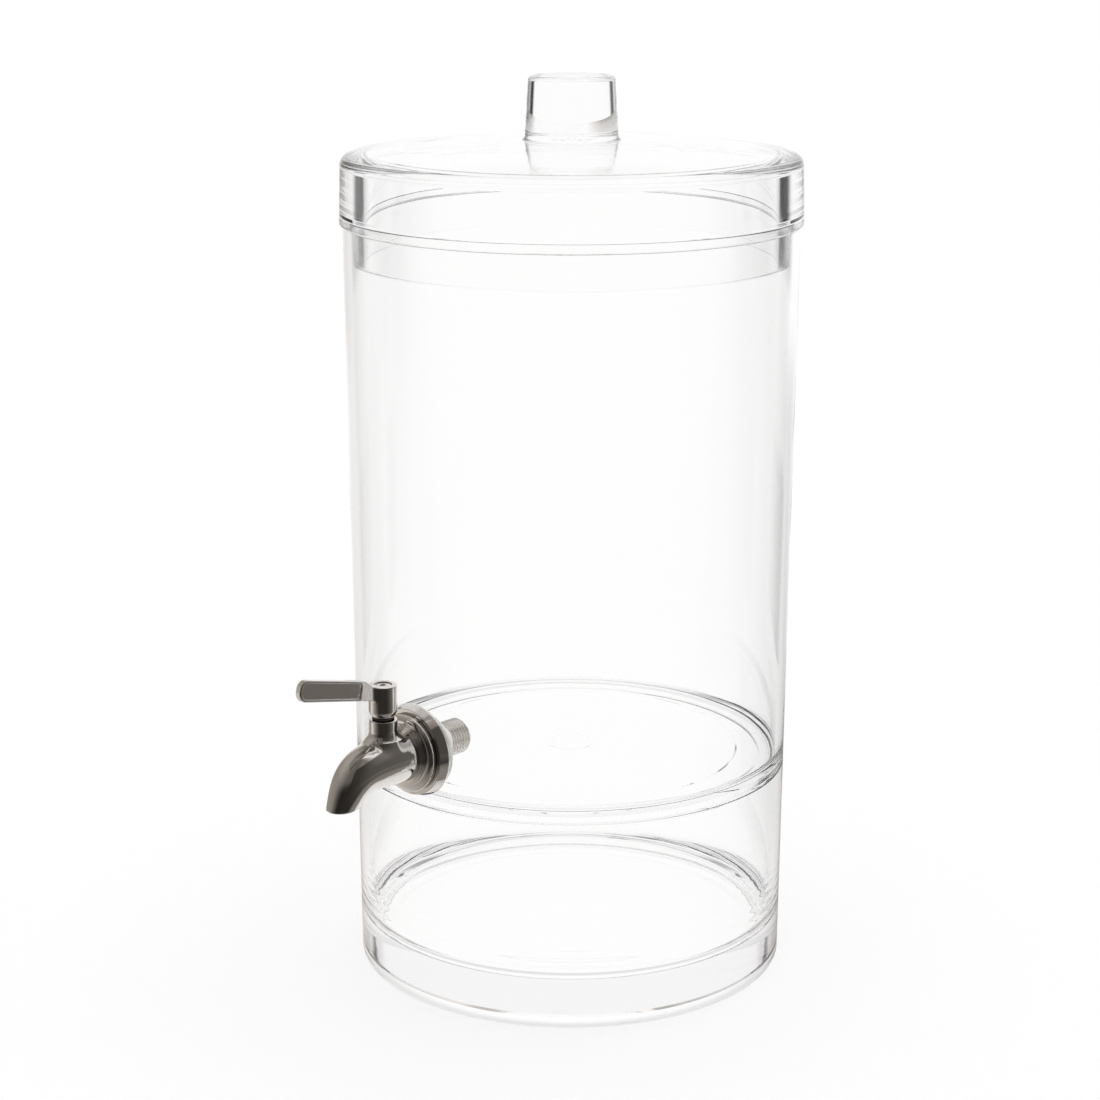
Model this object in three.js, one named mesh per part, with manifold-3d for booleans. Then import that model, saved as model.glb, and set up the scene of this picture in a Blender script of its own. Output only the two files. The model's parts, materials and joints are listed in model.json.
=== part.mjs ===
// Clear two-chamber juice dispenser with a stainless quarter-turn tap, in millimetres.
// +Z is up and the tap points along -Y. The pieces are placed from the clear body's axis at table
// height, and the whole is then moved so that the origin lies under the middle of its outline.
import * as THREE from "three";
import { mergeVertices } from "three/addons/utils/BufferGeometryUtils.js";
import Module from "manifold-3d";

const wasm = await Module();
wasm.setup();

// Facets of the turned shapes, as counts
const bodySteps = 60;
const knobSteps = 32;
const fittingSteps = 28;
const smallSteps = 16;
const arcSteps = 3;
const edgeSteps = 1; // a small edge is one facet
const domeSteps = 4;
const cornerSteps = 4;
const sealSides = 6; // round section of a sealing ring
const hexSides = 6;

// Clearances and modelling allowances
const seatGap = 0.3; // between pieces that rest on each other
const runGap = 0.3; // round a piece that turns or slides in another
const cutOverrun = 1; // how far a cutting tool passes the face that it opens
const weldTolerance = 0.0005;

// Clear body: base and container share one tapered outside
const footRadius = 100; // outside, at the table
const draftDeg = 0.472; // side walls lean out by this angle

// Base chamber
const baseHeight = 96.8;
const baseWall = 3.8;
const baseFloorTop = 19.5; // top of the solid slab
const baseRecessDepth = 5; // hollow under the slab
const footRingWidth = 4;
const recessChamfer = 1;
const footEdgeRadius = 1.2;
const baseRimRadius = 0.8;
const coveWidth = 13; // curved run from floor to wall
const coveHeight = 9;

// Container
const containerHeight = 253.9; // from the shoulder on the base's rim to the container's rim
const containerWall = 3.8;
const floorLift = 0.9; // the floor's underside lies this far above the shoulder
const floorThickness = 3.6;
const locatingRingDepth = 2; // how far the ring under the container drops into the base
const locatingRingWidth = 7;
const locatingClearance = 0.5;
const floorFillet = 4.4;
const floorRecessRadius = 78; // thinner middle of the floor
const floorRecessDepth = 0.8;
const gateRadius = 11; // moulding gate mark under the floor
const gateDepth = 0.5;
const rimRebateDepth = 1.7; // the lid's skirt laps over this
const rimRebateHeight = 4;
const rimEdgeRadius = 0.6;

// Lid
const lidOverhang = 1.44; // the lid stands this far proud of the container
const lidCornerRise = 27; // from the container's rim to the lid's top at its outer corner
const lidCornerRadius = 8.5;
const lidDomeRise = 6;
const lidPlate = 4.6;
const lidSkirtClearance = 0.5;
const lidSkirtEdge = 1.2;
const plugClearance = 0.7; // between the plug ring and the container's wall
const plugWall = 5;
const plugDepth = 20; // from the container's rim to the plug ring's lower edge
const plugEdge = 0.8;
const lidInnerFillet = 3;
const padMargin = 1.2; // flat seat round the knob
const locatingPipRadius = 1.8;
const locatingPipHeight = 1.2;

// Knob
const knobHeight = 28;
const knobTopRadius = 20.1;
const knobFootRadius = 20.9;
const knobFlare = 1.1;
const knobFlareHeight = 1.6;
const knobFlareShare = 0.3; // of both, where the flare's curve bends
const knobTopEdge = 2.6;
const knobSocketRadius = 2.2;
const knobSocketDepth = 1.6;

// Tap: reaches run outward from the dispenser's axis, heights of its pieces from the tap's level axis
const tapAboveFloor = 22.1; // from the container's floor to the tap's axis
const towerStandoff = 11.1; // from the flange's face to the lever's axis
const hullFlangeRadius = 17.6;
const hullFlangeThickness = 3.6;
const hullFlangeChamfer = 1.2;
const outerNeckRadius = 13.8; // two fine steps between flange and barrel
const innerNeckRadius = 13;
const neckStep = 0.9;
const barrelInset = 2.7; // the spout's tube starts this far inside the flange's face
const barrelRadius = 12.2; // the tube's radius at its start, bend and end
const bendRadius = 11.5;
const taperRadius = 5.5;
const spoutOverhang = 28.7; // from the lever's axis to the bend's end, which lies past the mouth
const bendEndDrop = 20;
const bendStartShare = 0.75; // where the bend's handles lie, of its run
const bendEndShare = 0.26;
const mouthDrop = 15.5; // the mouth is cut off level here, below the tap's axis
const flowBore = 4.9;
const inletBore = 8.3; // takes the threaded shank
const inletDepth = 6.5;
const spoutSteps = 10;
const towerRadius = 6.2;
const towerRise = 19.3; // from the tap's axis to the tower's top
const towerFlare = 2;
const towerFlareHeight = 4.5;
const towerRoot = 10.5; // height where the flare leaves the barrel
const towerEdge = 0.4;

// Wall fitting behind the tap
const wallHoleRadius = 8.4;
const shankRadius = 8;
const shankBore = 5;
const shankInnerReach = 75;
const threadPitch = 1.7;
const threadDepth = 0.7;
const shankChamfer = 0.8;
const outerGasketRadius = 19.5;
const outerGasketMiddle = 1.2; // thickness where the wall is nearest
const collarRadius = 21;
const collarFaceRadius = 19.5;
const collarThickness = 5;
const collarEdge = 1;
const nutAcrossFlats = 20;
const nutThickness = 3.6;
const nutChamfer = 0.6;
const washerRadius = 10.6;
const washerThickness = 0.8;
const innerGasketRadius = 10.6;
const innerGasketMiddle = 1.4;
const shankSealSection = 0.9; // radius of the sealing ring's round section

// Valve inside the tap
const valveRadius = 5.6;
const valveHalfHeight = 5.6;
const valvePortRadius = 3.4;
const valveSlotWidth = 2.4;
const valveSlotDepth = 2.2;
const seatRadius = 5;
const seatBore = 3.3;
const seatLength = 2.2;
const spindleRadius = 3.2;
const tongueLength = 1.8;
const grooveDepth = 1.2;
const grooveWidth = 1.5;
const grooveSection = 0.45; // radius of a spindle ring's round section
const upperGrooveDrop = 4.6; // from the tower's top to the upper groove's middle
const grooveSpacing = 3.2;
const glandRadius = 4.6;
const glandDepth = 2.2;
const spindleWasherRadius = 4.9;
const spindleWasherThickness = 0.8;

// Lever
const bossRadius = 6.3;
const bossFootRadius = 5.1;
const bossFootHeight = 3.2;
const bossHeight = 14;
const bossEdge = 0.5;
const bossRoof = 2.2; // metal between the spindle's end and the screw's head
const driveFlats = 4.8; // across the spindle's two flats
const screwHeadRadius = 3.6;
const screwHeadHeight = 1.8;
const screwRadius = 1.5;
const screwLength = 5.4;
const screwSocket = 2.5; // across flats
const screwSocketDepth = 1.1;
const leverReach = 51.6; // from the boss's axis to the tip, along the blade
const leverRiseDeg = 12.9;
const leverRoot = 7; // height of the blade's lower edge at the boss's axis, above the boss's foot
const leverNeckHeight = 6.1;
const leverNeckEnd = 7.6;
const leverShoulderEnd = 15;
const leverHeelHeight = 8.9;
const leverTipHeight = 9.6;
const leverThickness = 3.2;
const leverTipRound = 3;
const leverPanelStart = 15.5;
const leverPanelMargin = 1.1; // rim round the sunken panel
const leverPanelDepth = 0.4;
const leverBladeStart = 3; // the blade's root lies this far from the boss's axis

// Materials
const clearPlastic = { color: "#f4f6f6", roughness: 0.05, metalness: 0, transparent: true, opacity: 0.35 };
const polishedSteel = { color: "#8e8780", roughness: 0.16, metalness: 1 };
const turnedSteel = { color: "#a09a92", roughness: 0.3, metalness: 1 };
const silicone = { color: "#c9cbc8", roughness: 0.6, metalness: 0 };
const blackRubber = { color: "#1b1b1c", roughness: 0.7, metalness: 0 };
const whiteNylon = { color: "#e6e4de", roughness: 0.5, metalness: 0 };

const quarterTurn = Math.PI / 2;
const halfTurn = Math.PI;

// A closed geometry as a solid that can be cut and joined.
function solidOf(geometry) {
  const plain = geometry.clone();
  plain.deleteAttribute("normal");
  plain.deleteAttribute("uv");
  const welded = mergeVertices(plain, weldTolerance);
  return new wasm.Manifold(
    new wasm.Mesh({
      numProp: 3,
      vertProperties: welded.attributes.position.array,
      triVerts: new Uint32Array(welded.index.array),
    }),
  );
}

function geometryOf(solid) {
  const made = solid.getMesh();
  const geometry = new THREE.BufferGeometry();
  geometry.setAttribute("position", new THREE.BufferAttribute(made.vertProperties, made.numProp));
  geometry.setIndex(new THREE.BufferAttribute(made.triVerts, 1));
  geometry.computeVertexNormals();
  return geometry;
}

function joined(geometries) {
  const [first, ...others] = geometries.map(solidOf);
  return geometryOf(others.reduce((whole, part) => whole.add(part), first));
}

// What two geometries share.
function shared(first, second) {
  return geometryOf(solidOf(first).intersect(solidOf(second)));
}

// The first geometry with all the others cut out of it.
function cut(geometries) {
  const [first, ...others] = geometries.map(solidOf);
  return geometryOf(others.reduce((whole, part) => whole.subtract(part), first));
}

// Points of an arc in an outline, its angles in degrees.
function arc(centreR, centreH, radius, fromDeg, toDeg, steps = arcSteps, flat = 1) {
  const points = [];
  for (let i = 0; i <= steps; i++) {
    const angle = THREE.MathUtils.degToRad(fromDeg + ((toDeg - fromDeg) * i) / steps);
    points.push([centreR + radius * Math.cos(angle), centreH + flat * radius * Math.sin(angle)]);
  }
  return points;
}

// Turns an outline of [radius, height] points about the Z axis.
function turned(outline, steps) {
  const points = outline.map(([r, h]) => new THREE.Vector2(Math.max(r, 0), h));
  return new THREE.LatheGeometry(points, steps).rotateX(quarterTurn);
}

// Turns an outline of [radius, reach] points about the tap's level axis.
function turnedOnTapAxis(outline, steps) {
  const points = outline.map(([r, h]) => new THREE.Vector2(Math.max(r, 0), h));
  return new THREE.LatheGeometry(points, steps).rotateX(halfTurn).translate(0, 0, tapAxisHeight);
}

// Turns an outline of [radius, height] points about the lever's upright axis.
function turnedOnTower(outline, steps) {
  return turned(outline, steps).translate(0, -towerReach, 0);
}

// Outline of a ring with square edges.
function ringOutline(inner, outer, low, high) {
  return [
    [inner, low],
    [outer, low],
    [outer, high],
    [inner, high],
    [inner, low],
  ];
}

// Outline of a full disc or rod.
function rodOutline(radius, low, high) {
  return [
    [0, low],
    [radius, low],
    [radius, high],
    [0, high],
  ];
}

// Radius of a hexagon's corners, from its width across flats.
function hexCorner(acrossFlats) {
  return acrossFlats / 2 / Math.cos(Math.PI / hexSides);
}

// Outside radius of the clear body at a height.
function bodyRadius(height) {
  return footRadius + height * Math.tan(THREE.MathUtils.degToRad(draftDeg));
}

// Sizes that follow from the ones above
const shoulderHeight = baseHeight + seatGap;
const containerUnderside = shoulderHeight + floorLift; // inside the locating ring
const containerFloorTop = containerUnderside + floorThickness;
const containerRimTop = shoulderHeight + containerHeight;
const rebateHeight = containerRimTop - rimRebateHeight;
const rimOuterRadius = bodyRadius(rebateHeight) - rimRebateDepth;
const lidRadius = bodyRadius(rebateHeight) + lidOverhang;
const lidCornerTop = containerRimTop + lidCornerRise;
const plugRadius = bodyRadius(containerRimTop) - containerWall - plugClearance;
const plugBottom = containerRimTop - plugDepth;
const lidStepHeight = containerRimTop + seatGap;
const skirtBottom = rebateHeight + seatGap;
const domeTop = lidCornerTop + lidDomeRise;
const knobBase = domeTop + seatGap;
const tapAxisHeight = containerFloorTop + tapAboveFloor;
const wallOuterReach = bodyRadius(tapAxisHeight);
const wallInnerReach = wallOuterReach - containerWall;
const collarBack = wallOuterReach + outerGasketMiddle + 2 * seatGap;
const collarFront = collarBack + collarThickness;
const hullBack = collarFront + seatGap;
const hullFlangeFront = hullBack + hullFlangeThickness;
const neckFront = hullFlangeFront + 2 * neckStep;
const towerReach = hullFlangeFront + towerStandoff;
const bendEndReach = towerReach + spoutOverhang;
const inletBottom = hullBack + inletDepth;
const shankSealReach = inletBottom - seatGap - shankSealSection;
const shankOuterReach = shankSealReach - shankSealSection - seatGap;
const washerFront = wallInnerReach - innerGasketMiddle - 2 * seatGap;
const washerBack = washerFront - washerThickness;
const nutFront = washerBack - seatGap;
const nutBack = nutFront - nutThickness;
const shankHole = shankRadius + seatGap; // in everything that the shank passes through
const chamberRadius = valveRadius + runGap;
const chamberBottom = tapAxisHeight - valveHalfHeight - runGap;
const chamberTop = tapAxisHeight + valveHalfHeight + runGap;
const seatPocketRadius = seatRadius + seatGap;
const spindleHole = spindleRadius + runGap;
const towerTop = tapAxisHeight + towerRise;
const glandPocketRadius = glandRadius + seatGap;
const spindleWasherBase = towerTop + seatGap;
const bossFoot = spindleWasherBase + spindleWasherThickness + runGap;
const bossTop = bossFoot + bossHeight;
const screwSeat = bossTop - screwHeadHeight - seatGap;
const spindleTop = screwSeat - bossRoof;
const screwTip = screwSeat + seatGap - screwLength;

// Base chamber: thick clear slab with a hollow underside, and a tall thin wall.
function makeBase() {
  const innerWall = (height) => bodyRadius(height) - baseWall;
  const rimOutside = bodyRadius(baseHeight);
  const edgeCentre = baseHeight - baseRimRadius;
  const coveTop = baseFloorTop + coveHeight;
  const coveCentre = innerWall(coveTop) - coveWidth;
  const recessRadius = footRadius - footRingWidth;
  return turned(
    [
      [0, baseRecessDepth],
      [recessRadius - recessChamfer, baseRecessDepth],
      [recessRadius, baseRecessDepth - recessChamfer],
      [recessRadius, 0],
      ...arc(footRadius - footEdgeRadius, footEdgeRadius, footEdgeRadius, -90, 0),
      ...arc(rimOutside - baseRimRadius, edgeCentre, baseRimRadius, 0, 90, edgeSteps),
      ...arc(innerWall(baseHeight) + baseRimRadius, edgeCentre, baseRimRadius, 90, 180, edgeSteps),
      ...arc(coveCentre, coveTop, coveWidth, 0, -90, arcSteps, coveHeight / coveWidth),
      [0, baseFloorTop],
    ],
    bodySteps,
  );
}

// Container: tapered wall, filleted floor with a locating ring under it, and a stepped rim.
function makeContainer() {
  const innerWall = (height) => bodyRadius(height) - containerWall;
  const rimInnerRadius = innerWall(containerRimTop);
  const edgeCentre = containerRimTop - rimEdgeRadius;
  const ringOuter = bodyRadius(baseHeight) - baseWall - locatingClearance;
  const ringInner = ringOuter - locatingRingWidth;
  const ringBottom = shoulderHeight - locatingRingDepth;
  const filletTop = containerFloorTop + floorFillet;
  const recessTop = containerUnderside + floorRecessDepth;
  const shell = turned(
    [
      [0, recessTop + gateDepth],
      [gateRadius, recessTop + gateDepth],
      [gateRadius, recessTop],
      [floorRecessRadius, recessTop],
      [floorRecessRadius + floorRecessDepth, containerUnderside],
      [ringInner, containerUnderside],
      [ringInner, ringBottom],
      [ringOuter, ringBottom],
      [ringOuter, shoulderHeight],
      [bodyRadius(shoulderHeight), shoulderHeight],
      [bodyRadius(rebateHeight), rebateHeight],
      [rimOuterRadius, rebateHeight],
      ...arc(rimOuterRadius - rimEdgeRadius, edgeCentre, rimEdgeRadius, 0, 90, edgeSteps),
      ...arc(rimInnerRadius + rimEdgeRadius, edgeCentre, rimEdgeRadius, 90, 180, edgeSteps),
      ...arc(innerWall(filletTop) - floorFillet, filletTop, floorFillet, 0, -90),
      [0, containerFloorTop],
    ],
    bodySteps,
  );
  const hole = turnedOnTapAxis(
    rodOutline(wallHoleRadius, wallInnerReach - containerWall, wallOuterReach + containerWall),
    fittingSteps,
  );
  return cut([shell, hole]);
}

// Lid: domed plate with a deep plug ring and a short skirt that laps the container's rim.
function makeLid() {
  const topRadius = lidRadius - lidCornerRadius; // where the corner meets the dome
  const padRadius = knobFootRadius + knobFlare + padMargin;
  const domeRun = topRadius - padRadius;
  const edgeSlopeDeg = THREE.MathUtils.radToDeg(Math.atan((2 * lidDomeRise) / domeRun));
  const dome = (radius) => lidCornerTop + lidDomeRise * (1 - ((radius - padRadius) / domeRun) ** 2);
  const domePoints = [];
  for (let i = 1; i < domeSteps; i++) {
    const radius = topRadius - (domeRun * i) / domeSteps;
    domePoints.push([radius, dome(radius)]);
  }
  const plugInner = plugRadius - plugWall;
  const skirtInner = rimOuterRadius + lidSkirtClearance;
  const under = (radius) => dome(Math.max(radius, padRadius)) - lidPlate;
  const filletCentre = plugInner - lidInnerFillet;
  const underPoints = [];
  for (let i = 0; i < domeSteps; i++) {
    const radius = padRadius + ((filletCentre - padRadius) * i) / domeSteps;
    underPoints.push([radius, under(radius)]);
  }
  return turned(
    [
      [0, domeTop - lidPlate],
      ...underPoints,
      ...arc(filletCentre, under(filletCentre) - lidInnerFillet, lidInnerFillet, 90, 0),
      ...arc(plugInner + plugEdge, plugBottom + plugEdge, plugEdge, 180, 270, edgeSteps),
      ...arc(plugRadius - plugEdge, plugBottom + plugEdge, plugEdge, 270, 360, edgeSteps),
      [plugRadius, lidStepHeight],
      [skirtInner, lidStepHeight],
      [skirtInner, skirtBottom],
      ...arc(lidRadius - lidSkirtEdge, skirtBottom + lidSkirtEdge, lidSkirtEdge, -90, 0),
      ...arc(topRadius, lidCornerTop - lidCornerRadius, lidCornerRadius, 0, 90 - edgeSlopeDeg, cornerSteps),
      ...domePoints,
      [padRadius, domeTop],
      [locatingPipRadius, domeTop],
      [locatingPipRadius, domeTop + locatingPipHeight],
      [0, domeTop + locatingPipHeight],
    ],
    bodySteps,
  );
}

// Knob: solid tapered plug of clear plastic, bonded over the lid's locating pip.
function makeKnob() {
  const knobTop = knobBase + knobHeight;
  return turned(
    [
      [0, knobBase + knobSocketDepth],
      [knobSocketRadius, knobBase + knobSocketDepth],
      [knobSocketRadius, knobBase],
      [knobFootRadius + knobFlare, knobBase],
      [knobFootRadius + knobFlare * knobFlareShare, knobBase + knobFlareHeight * knobFlareShare],
      [knobFootRadius, knobBase + knobFlareHeight],
      ...arc(knobTopRadius - knobTopEdge, knobTop - knobTopEdge, knobTopEdge, 0, 90),
      [0, knobTop],
    ],
    knobSteps,
  );
}

// A tube with a changing radius along a curve in the tap's upright plane, closed at both ends.
function taperedTube(curve, radiusAt, tubeSteps, roundSteps) {
  const positions = [];
  const faces = [];
  for (let i = 0; i <= tubeSteps; i++) {
    const along = i / tubeSteps;
    const centre = curve.getPointAt(along);
    const ahead = curve.getTangentAt(along);
    const up = new THREE.Vector3(0, ahead.z, -ahead.y);
    const radius = radiusAt(along);
    for (let j = 0; j < roundSteps; j++) {
      const angle = (2 * Math.PI * j) / roundSteps;
      positions.push(
        centre.x + radius * Math.cos(angle),
        centre.y + radius * up.y * Math.sin(angle),
        centre.z + radius * up.z * Math.sin(angle),
      );
    }
  }
  for (let i = 0; i < tubeSteps; i++) {
    for (let j = 0; j < roundSteps; j++) {
      const next = (j + 1) % roundSteps;
      const a = i * roundSteps + j;
      const b = i * roundSteps + next;
      faces.push(a, b, a + roundSteps, b, b + roundSteps, a + roundSteps);
    }
  }
  const first = positions.length / 3;
  for (const along of [0, 1]) {
    const centre = curve.getPointAt(along);
    positions.push(centre.x, centre.y, centre.z);
  }
  const lastRing = tubeSteps * roundSteps;
  for (let j = 0; j < roundSteps; j++) {
    const next = (j + 1) % roundSteps;
    faces.push(first, next, j);
    faces.push(first + 1, lastRing + j, lastRing + next);
  }
  const geometry = new THREE.BufferGeometry();
  geometry.setAttribute("position", new THREE.BufferAttribute(new Float32Array(positions), 3));
  geometry.setIndex(faces);
  return geometry;
}

// Middle line of the spout, from inside the flange to a little past the mouth.
function spoutCurve() {
  const start = hullFlangeFront - barrelInset;
  const run = bendEndReach - start;
  const at = (reach, drop) => new THREE.Vector3(0, -reach, tapAxisHeight - drop);
  return new THREE.CubicBezierCurve3(
    at(start, 0),
    at(start + run * bendStartShare, 0),
    at(bendEndReach - run * bendEndShare, 0),
    at(bendEndReach, bendEndDrop),
  );
}

// Tap body: flange, stepped neck, horn-shaped spout and upright tower, bored for flow and valve.
function makeTapBody() {
  const flange = turnedOnTapAxis(
    [
      [0, hullBack],
      [hullFlangeRadius, hullBack],
      [hullFlangeRadius, hullFlangeFront - hullFlangeChamfer],
      [hullFlangeRadius - hullFlangeChamfer, hullFlangeFront],
      [outerNeckRadius, hullFlangeFront],
      [outerNeckRadius, hullFlangeFront + neckStep],
      [innerNeckRadius, hullFlangeFront + neckStep],
      [innerNeckRadius, neckFront],
      [0, neckFront],
    ],
    fittingSteps,
  );
  const hornRadius = (along) =>
    barrelRadius * (1 - along) ** 2 + 2 * bendRadius * along * (1 - along) + taperRadius * along ** 2;
  const horn = taperedTube(spoutCurve(), hornRadius, spoutSteps, fittingSteps);
  const mouthSide = 4 * barrelRadius;
  const belowMouth = new THREE.BoxGeometry(mouthSide, mouthSide, 2 * bendEndDrop)
    .translate(0, -bendEndReach, tapAxisHeight - mouthDrop - bendEndDrop);
  const flareBase = tapAxisHeight + towerRoot;
  const flareTop = flareBase + towerFlareHeight;
  const flareRadius = towerRadius + towerFlare;
  const tower = turnedOnTower(
    [
      [0, tapAxisHeight],
      [flareRadius, tapAxisHeight],
      [flareRadius, flareBase],
      ...arc(flareRadius, flareTop, towerFlare, 270, 180, arcSteps, towerFlareHeight / towerFlare),
      [towerRadius, towerTop - towerEdge],
      [towerRadius - towerEdge, towerTop],
      [0, towerTop],
    ],
    fittingSteps,
  );
  const inlet = turnedOnTapAxis(
    [
      [0, hullBack - cutOverrun],
      [inletBore, hullBack - cutOverrun],
      [inletBore, inletBottom],
      [seatPocketRadius, inletBottom],
      [seatPocketRadius, towerReach + chamberRadius + seatLength],
      [0, towerReach + chamberRadius + seatLength],
    ],
    smallSteps,
  );
  const chamber = turnedOnTower(
    [
      [0, chamberBottom],
      [chamberRadius, chamberBottom],
      [chamberRadius, chamberTop],
      [spindleHole, chamberTop],
      [spindleHole, towerTop - glandDepth - seatGap],
      [glandPocketRadius, towerTop - glandDepth - seatGap],
      [glandPocketRadius, towerTop + cutOverrun],
      [0, towerTop + cutOverrun],
    ],
    smallSteps,
  );
  const passage = taperedTube(spoutCurve(), () => flowBore, spoutSteps, smallSteps);
  return cut([joined([flange, horn, tower]), belowMouth, inlet, chamber, passage]);
}

// Threaded tube that carries the flow through the container's wall into the tap.
function makeShank() {
  const root = shankRadius - threadDepth;
  const ridges = [];
  for (let reach = shankInnerReach + shankChamfer; reach < nutFront; reach += threadPitch) {
    ridges.push([root, reach], [shankRadius, reach + threadPitch / 2]);
  }
  return turnedOnTapAxis(
    [
      [shankBore, shankInnerReach],
      [root, shankInnerReach],
      ...ridges,
      [shankRadius, shankOuterReach - shankChamfer],
      [shankRadius - shankChamfer, shankOuterReach],
      [shankBore, shankOuterReach],
      [shankBore, shankInnerReach],
    ],
    smallSteps,
  );
}

// Solid of revolution that follows the container's wall, moved outward by an offset.
function wallFollower(offset) {
  const low = tapAxisHeight - 2 * collarRadius;
  const high = tapAxisHeight + 2 * collarRadius;
  return turned(
    [
      [0, low],
      [bodyRadius(low) + offset, low],
      [bodyRadius(high) + offset, high],
      [0, high],
    ],
    bodySteps,
  );
}

// Soft washer outside the wall: flat against the collar, hollowed to the wall's curve.
function makeOuterGasket() {
  const front = collarBack - seatGap;
  const back = wallInnerReach;
  const ring = turnedOnTapAxis(ringOutline(shankHole, outerGasketRadius, back, front), fittingSteps);
  return cut([ring, wallFollower(seatGap)]);
}

// Soft washer inside the wall: flat against the steel washer, rounded to the wall's curve.
function makeInnerGasket() {
  const back = washerFront + seatGap;
  const ring = turnedOnTapAxis(ringOutline(shankHole, innerGasketRadius, back, wallOuterReach), fittingSteps);
  return shared(ring, wallFollower(-containerWall - seatGap));
}

// Round steel plate between the gasket and the tap's flange.
function makeCollar() {
  return turnedOnTapAxis(
    [
      [shankHole, collarBack],
      [collarRadius, collarBack],
      [collarRadius, collarBack + collarEdge],
      [collarFaceRadius, collarFront],
      [shankHole, collarFront],
      [shankHole, collarBack],
    ],
    fittingSteps,
  );
}

// Flat steel washer between the inner gasket and the nut.
function makeInnerWasher() {
  return turnedOnTapAxis(ringOutline(shankHole, washerRadius, washerBack, washerFront), fittingSteps);
}

// Hexagonal nut on the shank, inside the container.
function makeNut() {
  const corner = hexCorner(nutAcrossFlats);
  const hexagon = turnedOnTapAxis(rodOutline(corner, nutBack, nutFront), hexSides);
  const rounded = turnedOnTapAxis(
    [
      [0, nutBack],
      [corner - nutChamfer, nutBack],
      [corner, nutBack + nutChamfer],
      [corner, nutFront],
      [0, nutFront],
    ],
    fittingSteps,
  );
  const bore = turnedOnTapAxis(
    rodOutline(shankHole, nutBack - cutOverrun, nutFront + cutOverrun),
    smallSteps,
  );
  return cut([shared(hexagon, rounded), bore]);
}

// Ring of round section about the tap's level axis.
function makeShankSeal() {
  const middle = (seatPocketRadius + inletBore) / 2;
  const ring = new THREE.TorusGeometry(middle, shankSealSection, sealSides, smallSteps);
  return ring.rotateX(quarterTurn).translate(0, -shankSealReach, tapAxisHeight);
}

// Seat ring beside the valve, hollowed to the valve's curve; side is -1 at the inlet, 1 at the outlet.
function makeSeat(side) {
  const near = towerReach + side * (valveRadius - seatLength);
  const far = towerReach + side * (chamberRadius + seatLength - seatGap);
  const ring = turnedOnTapAxis(
    ringOutline(seatBore, seatRadius, Math.min(near, far), Math.max(near, far)),
    smallSteps,
  );
  const room = turnedOnTower(rodOutline(chamberRadius, chamberBottom, chamberTop), smallSteps);
  return cut([ring, room]);
}

// Valve: upright cylinder with a level port, which lies across the flow when the tap is shut.
function makeValve() {
  const bottom = tapAxisHeight - valveHalfHeight;
  const top = tapAxisHeight + valveHalfHeight;
  const body = turnedOnTower(rodOutline(valveRadius, bottom, top), smallSteps);
  const port = turned(rodOutline(valvePortRadius, -2 * valveRadius, 2 * valveRadius), smallSteps)
    .rotateY(quarterTurn)
    .translate(0, -towerReach, tapAxisHeight);
  const slot = new THREE.BoxGeometry(2 * valveRadius + cutOverrun, valveSlotWidth, 2 * valveSlotDepth)
    .translate(0, -towerReach, top);
  return cut([body, port, slot]);
}

// Bar that leaves only the part of a round rod between two flats.
function flatsBar(across, low, high) {
  const middle = (low + high) / 2;
  return new THREE.BoxGeometry(across, 2 * bossRadius, high - low).translate(0, -towerReach, middle);
}

// Spindle: tongue in the valve's slot, two ring grooves, and flats that drive it from the lever.
function makeSpindle() {
  const foot = chamberTop - runGap + seatGap;
  const upper = towerTop - upperGrooveDrop;
  const groove = (middle) => [
    [spindleRadius, middle - grooveWidth / 2],
    [spindleRadius - grooveDepth, middle - grooveWidth / 2],
    [spindleRadius - grooveDepth, middle + grooveWidth / 2],
    [spindleRadius, middle + grooveWidth / 2],
  ];
  const rod = turnedOnTower(
    [
      [0, foot],
      [spindleRadius, foot],
      ...groove(upper - grooveSpacing),
      ...groove(upper),
      [spindleRadius, bossFoot],
      [spindleRadius, spindleTop],
      [0, spindleTop],
    ],
    smallSteps,
  );
  const tongue = new THREE.BoxGeometry(2 * spindleRadius, valveSlotWidth - 2 * seatGap, 2 * tongueLength)
    .translate(0, -towerReach, foot);
  const flatHeight = spindleTop - bossFoot;
  const sideCut = (side) =>
    new THREE.BoxGeometry(spindleRadius, 2 * bossRadius, 2 * flatHeight)
      .translate((side * (driveFlats + spindleRadius)) / 2, -towerReach, spindleTop);
  const tapped = turnedOnTower(
    rodOutline(screwRadius + seatGap, screwTip - seatGap, spindleTop + cutOverrun),
    smallSteps,
  );
  return cut([joined([rod, tongue]), sideCut(-1), sideCut(1), tapped]);
}

function makeSpindleRing(drop) {
  const middle = spindleRadius - grooveDepth + seatGap + grooveSection;
  return new THREE.TorusGeometry(middle, grooveSection, sealSides, smallSteps)
    .translate(0, -towerReach, towerTop - drop);
}

function makeGland() {
  return turnedOnTower(ringOutline(spindleHole, glandRadius, towerTop - glandDepth, towerTop), smallSteps);
}

function makeSpindleWasher() {
  const top = spindleWasherBase + spindleWasherThickness;
  return turnedOnTower(ringOutline(spindleHole, spindleWasherRadius, spindleWasherBase, top), smallSteps);
}

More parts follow.
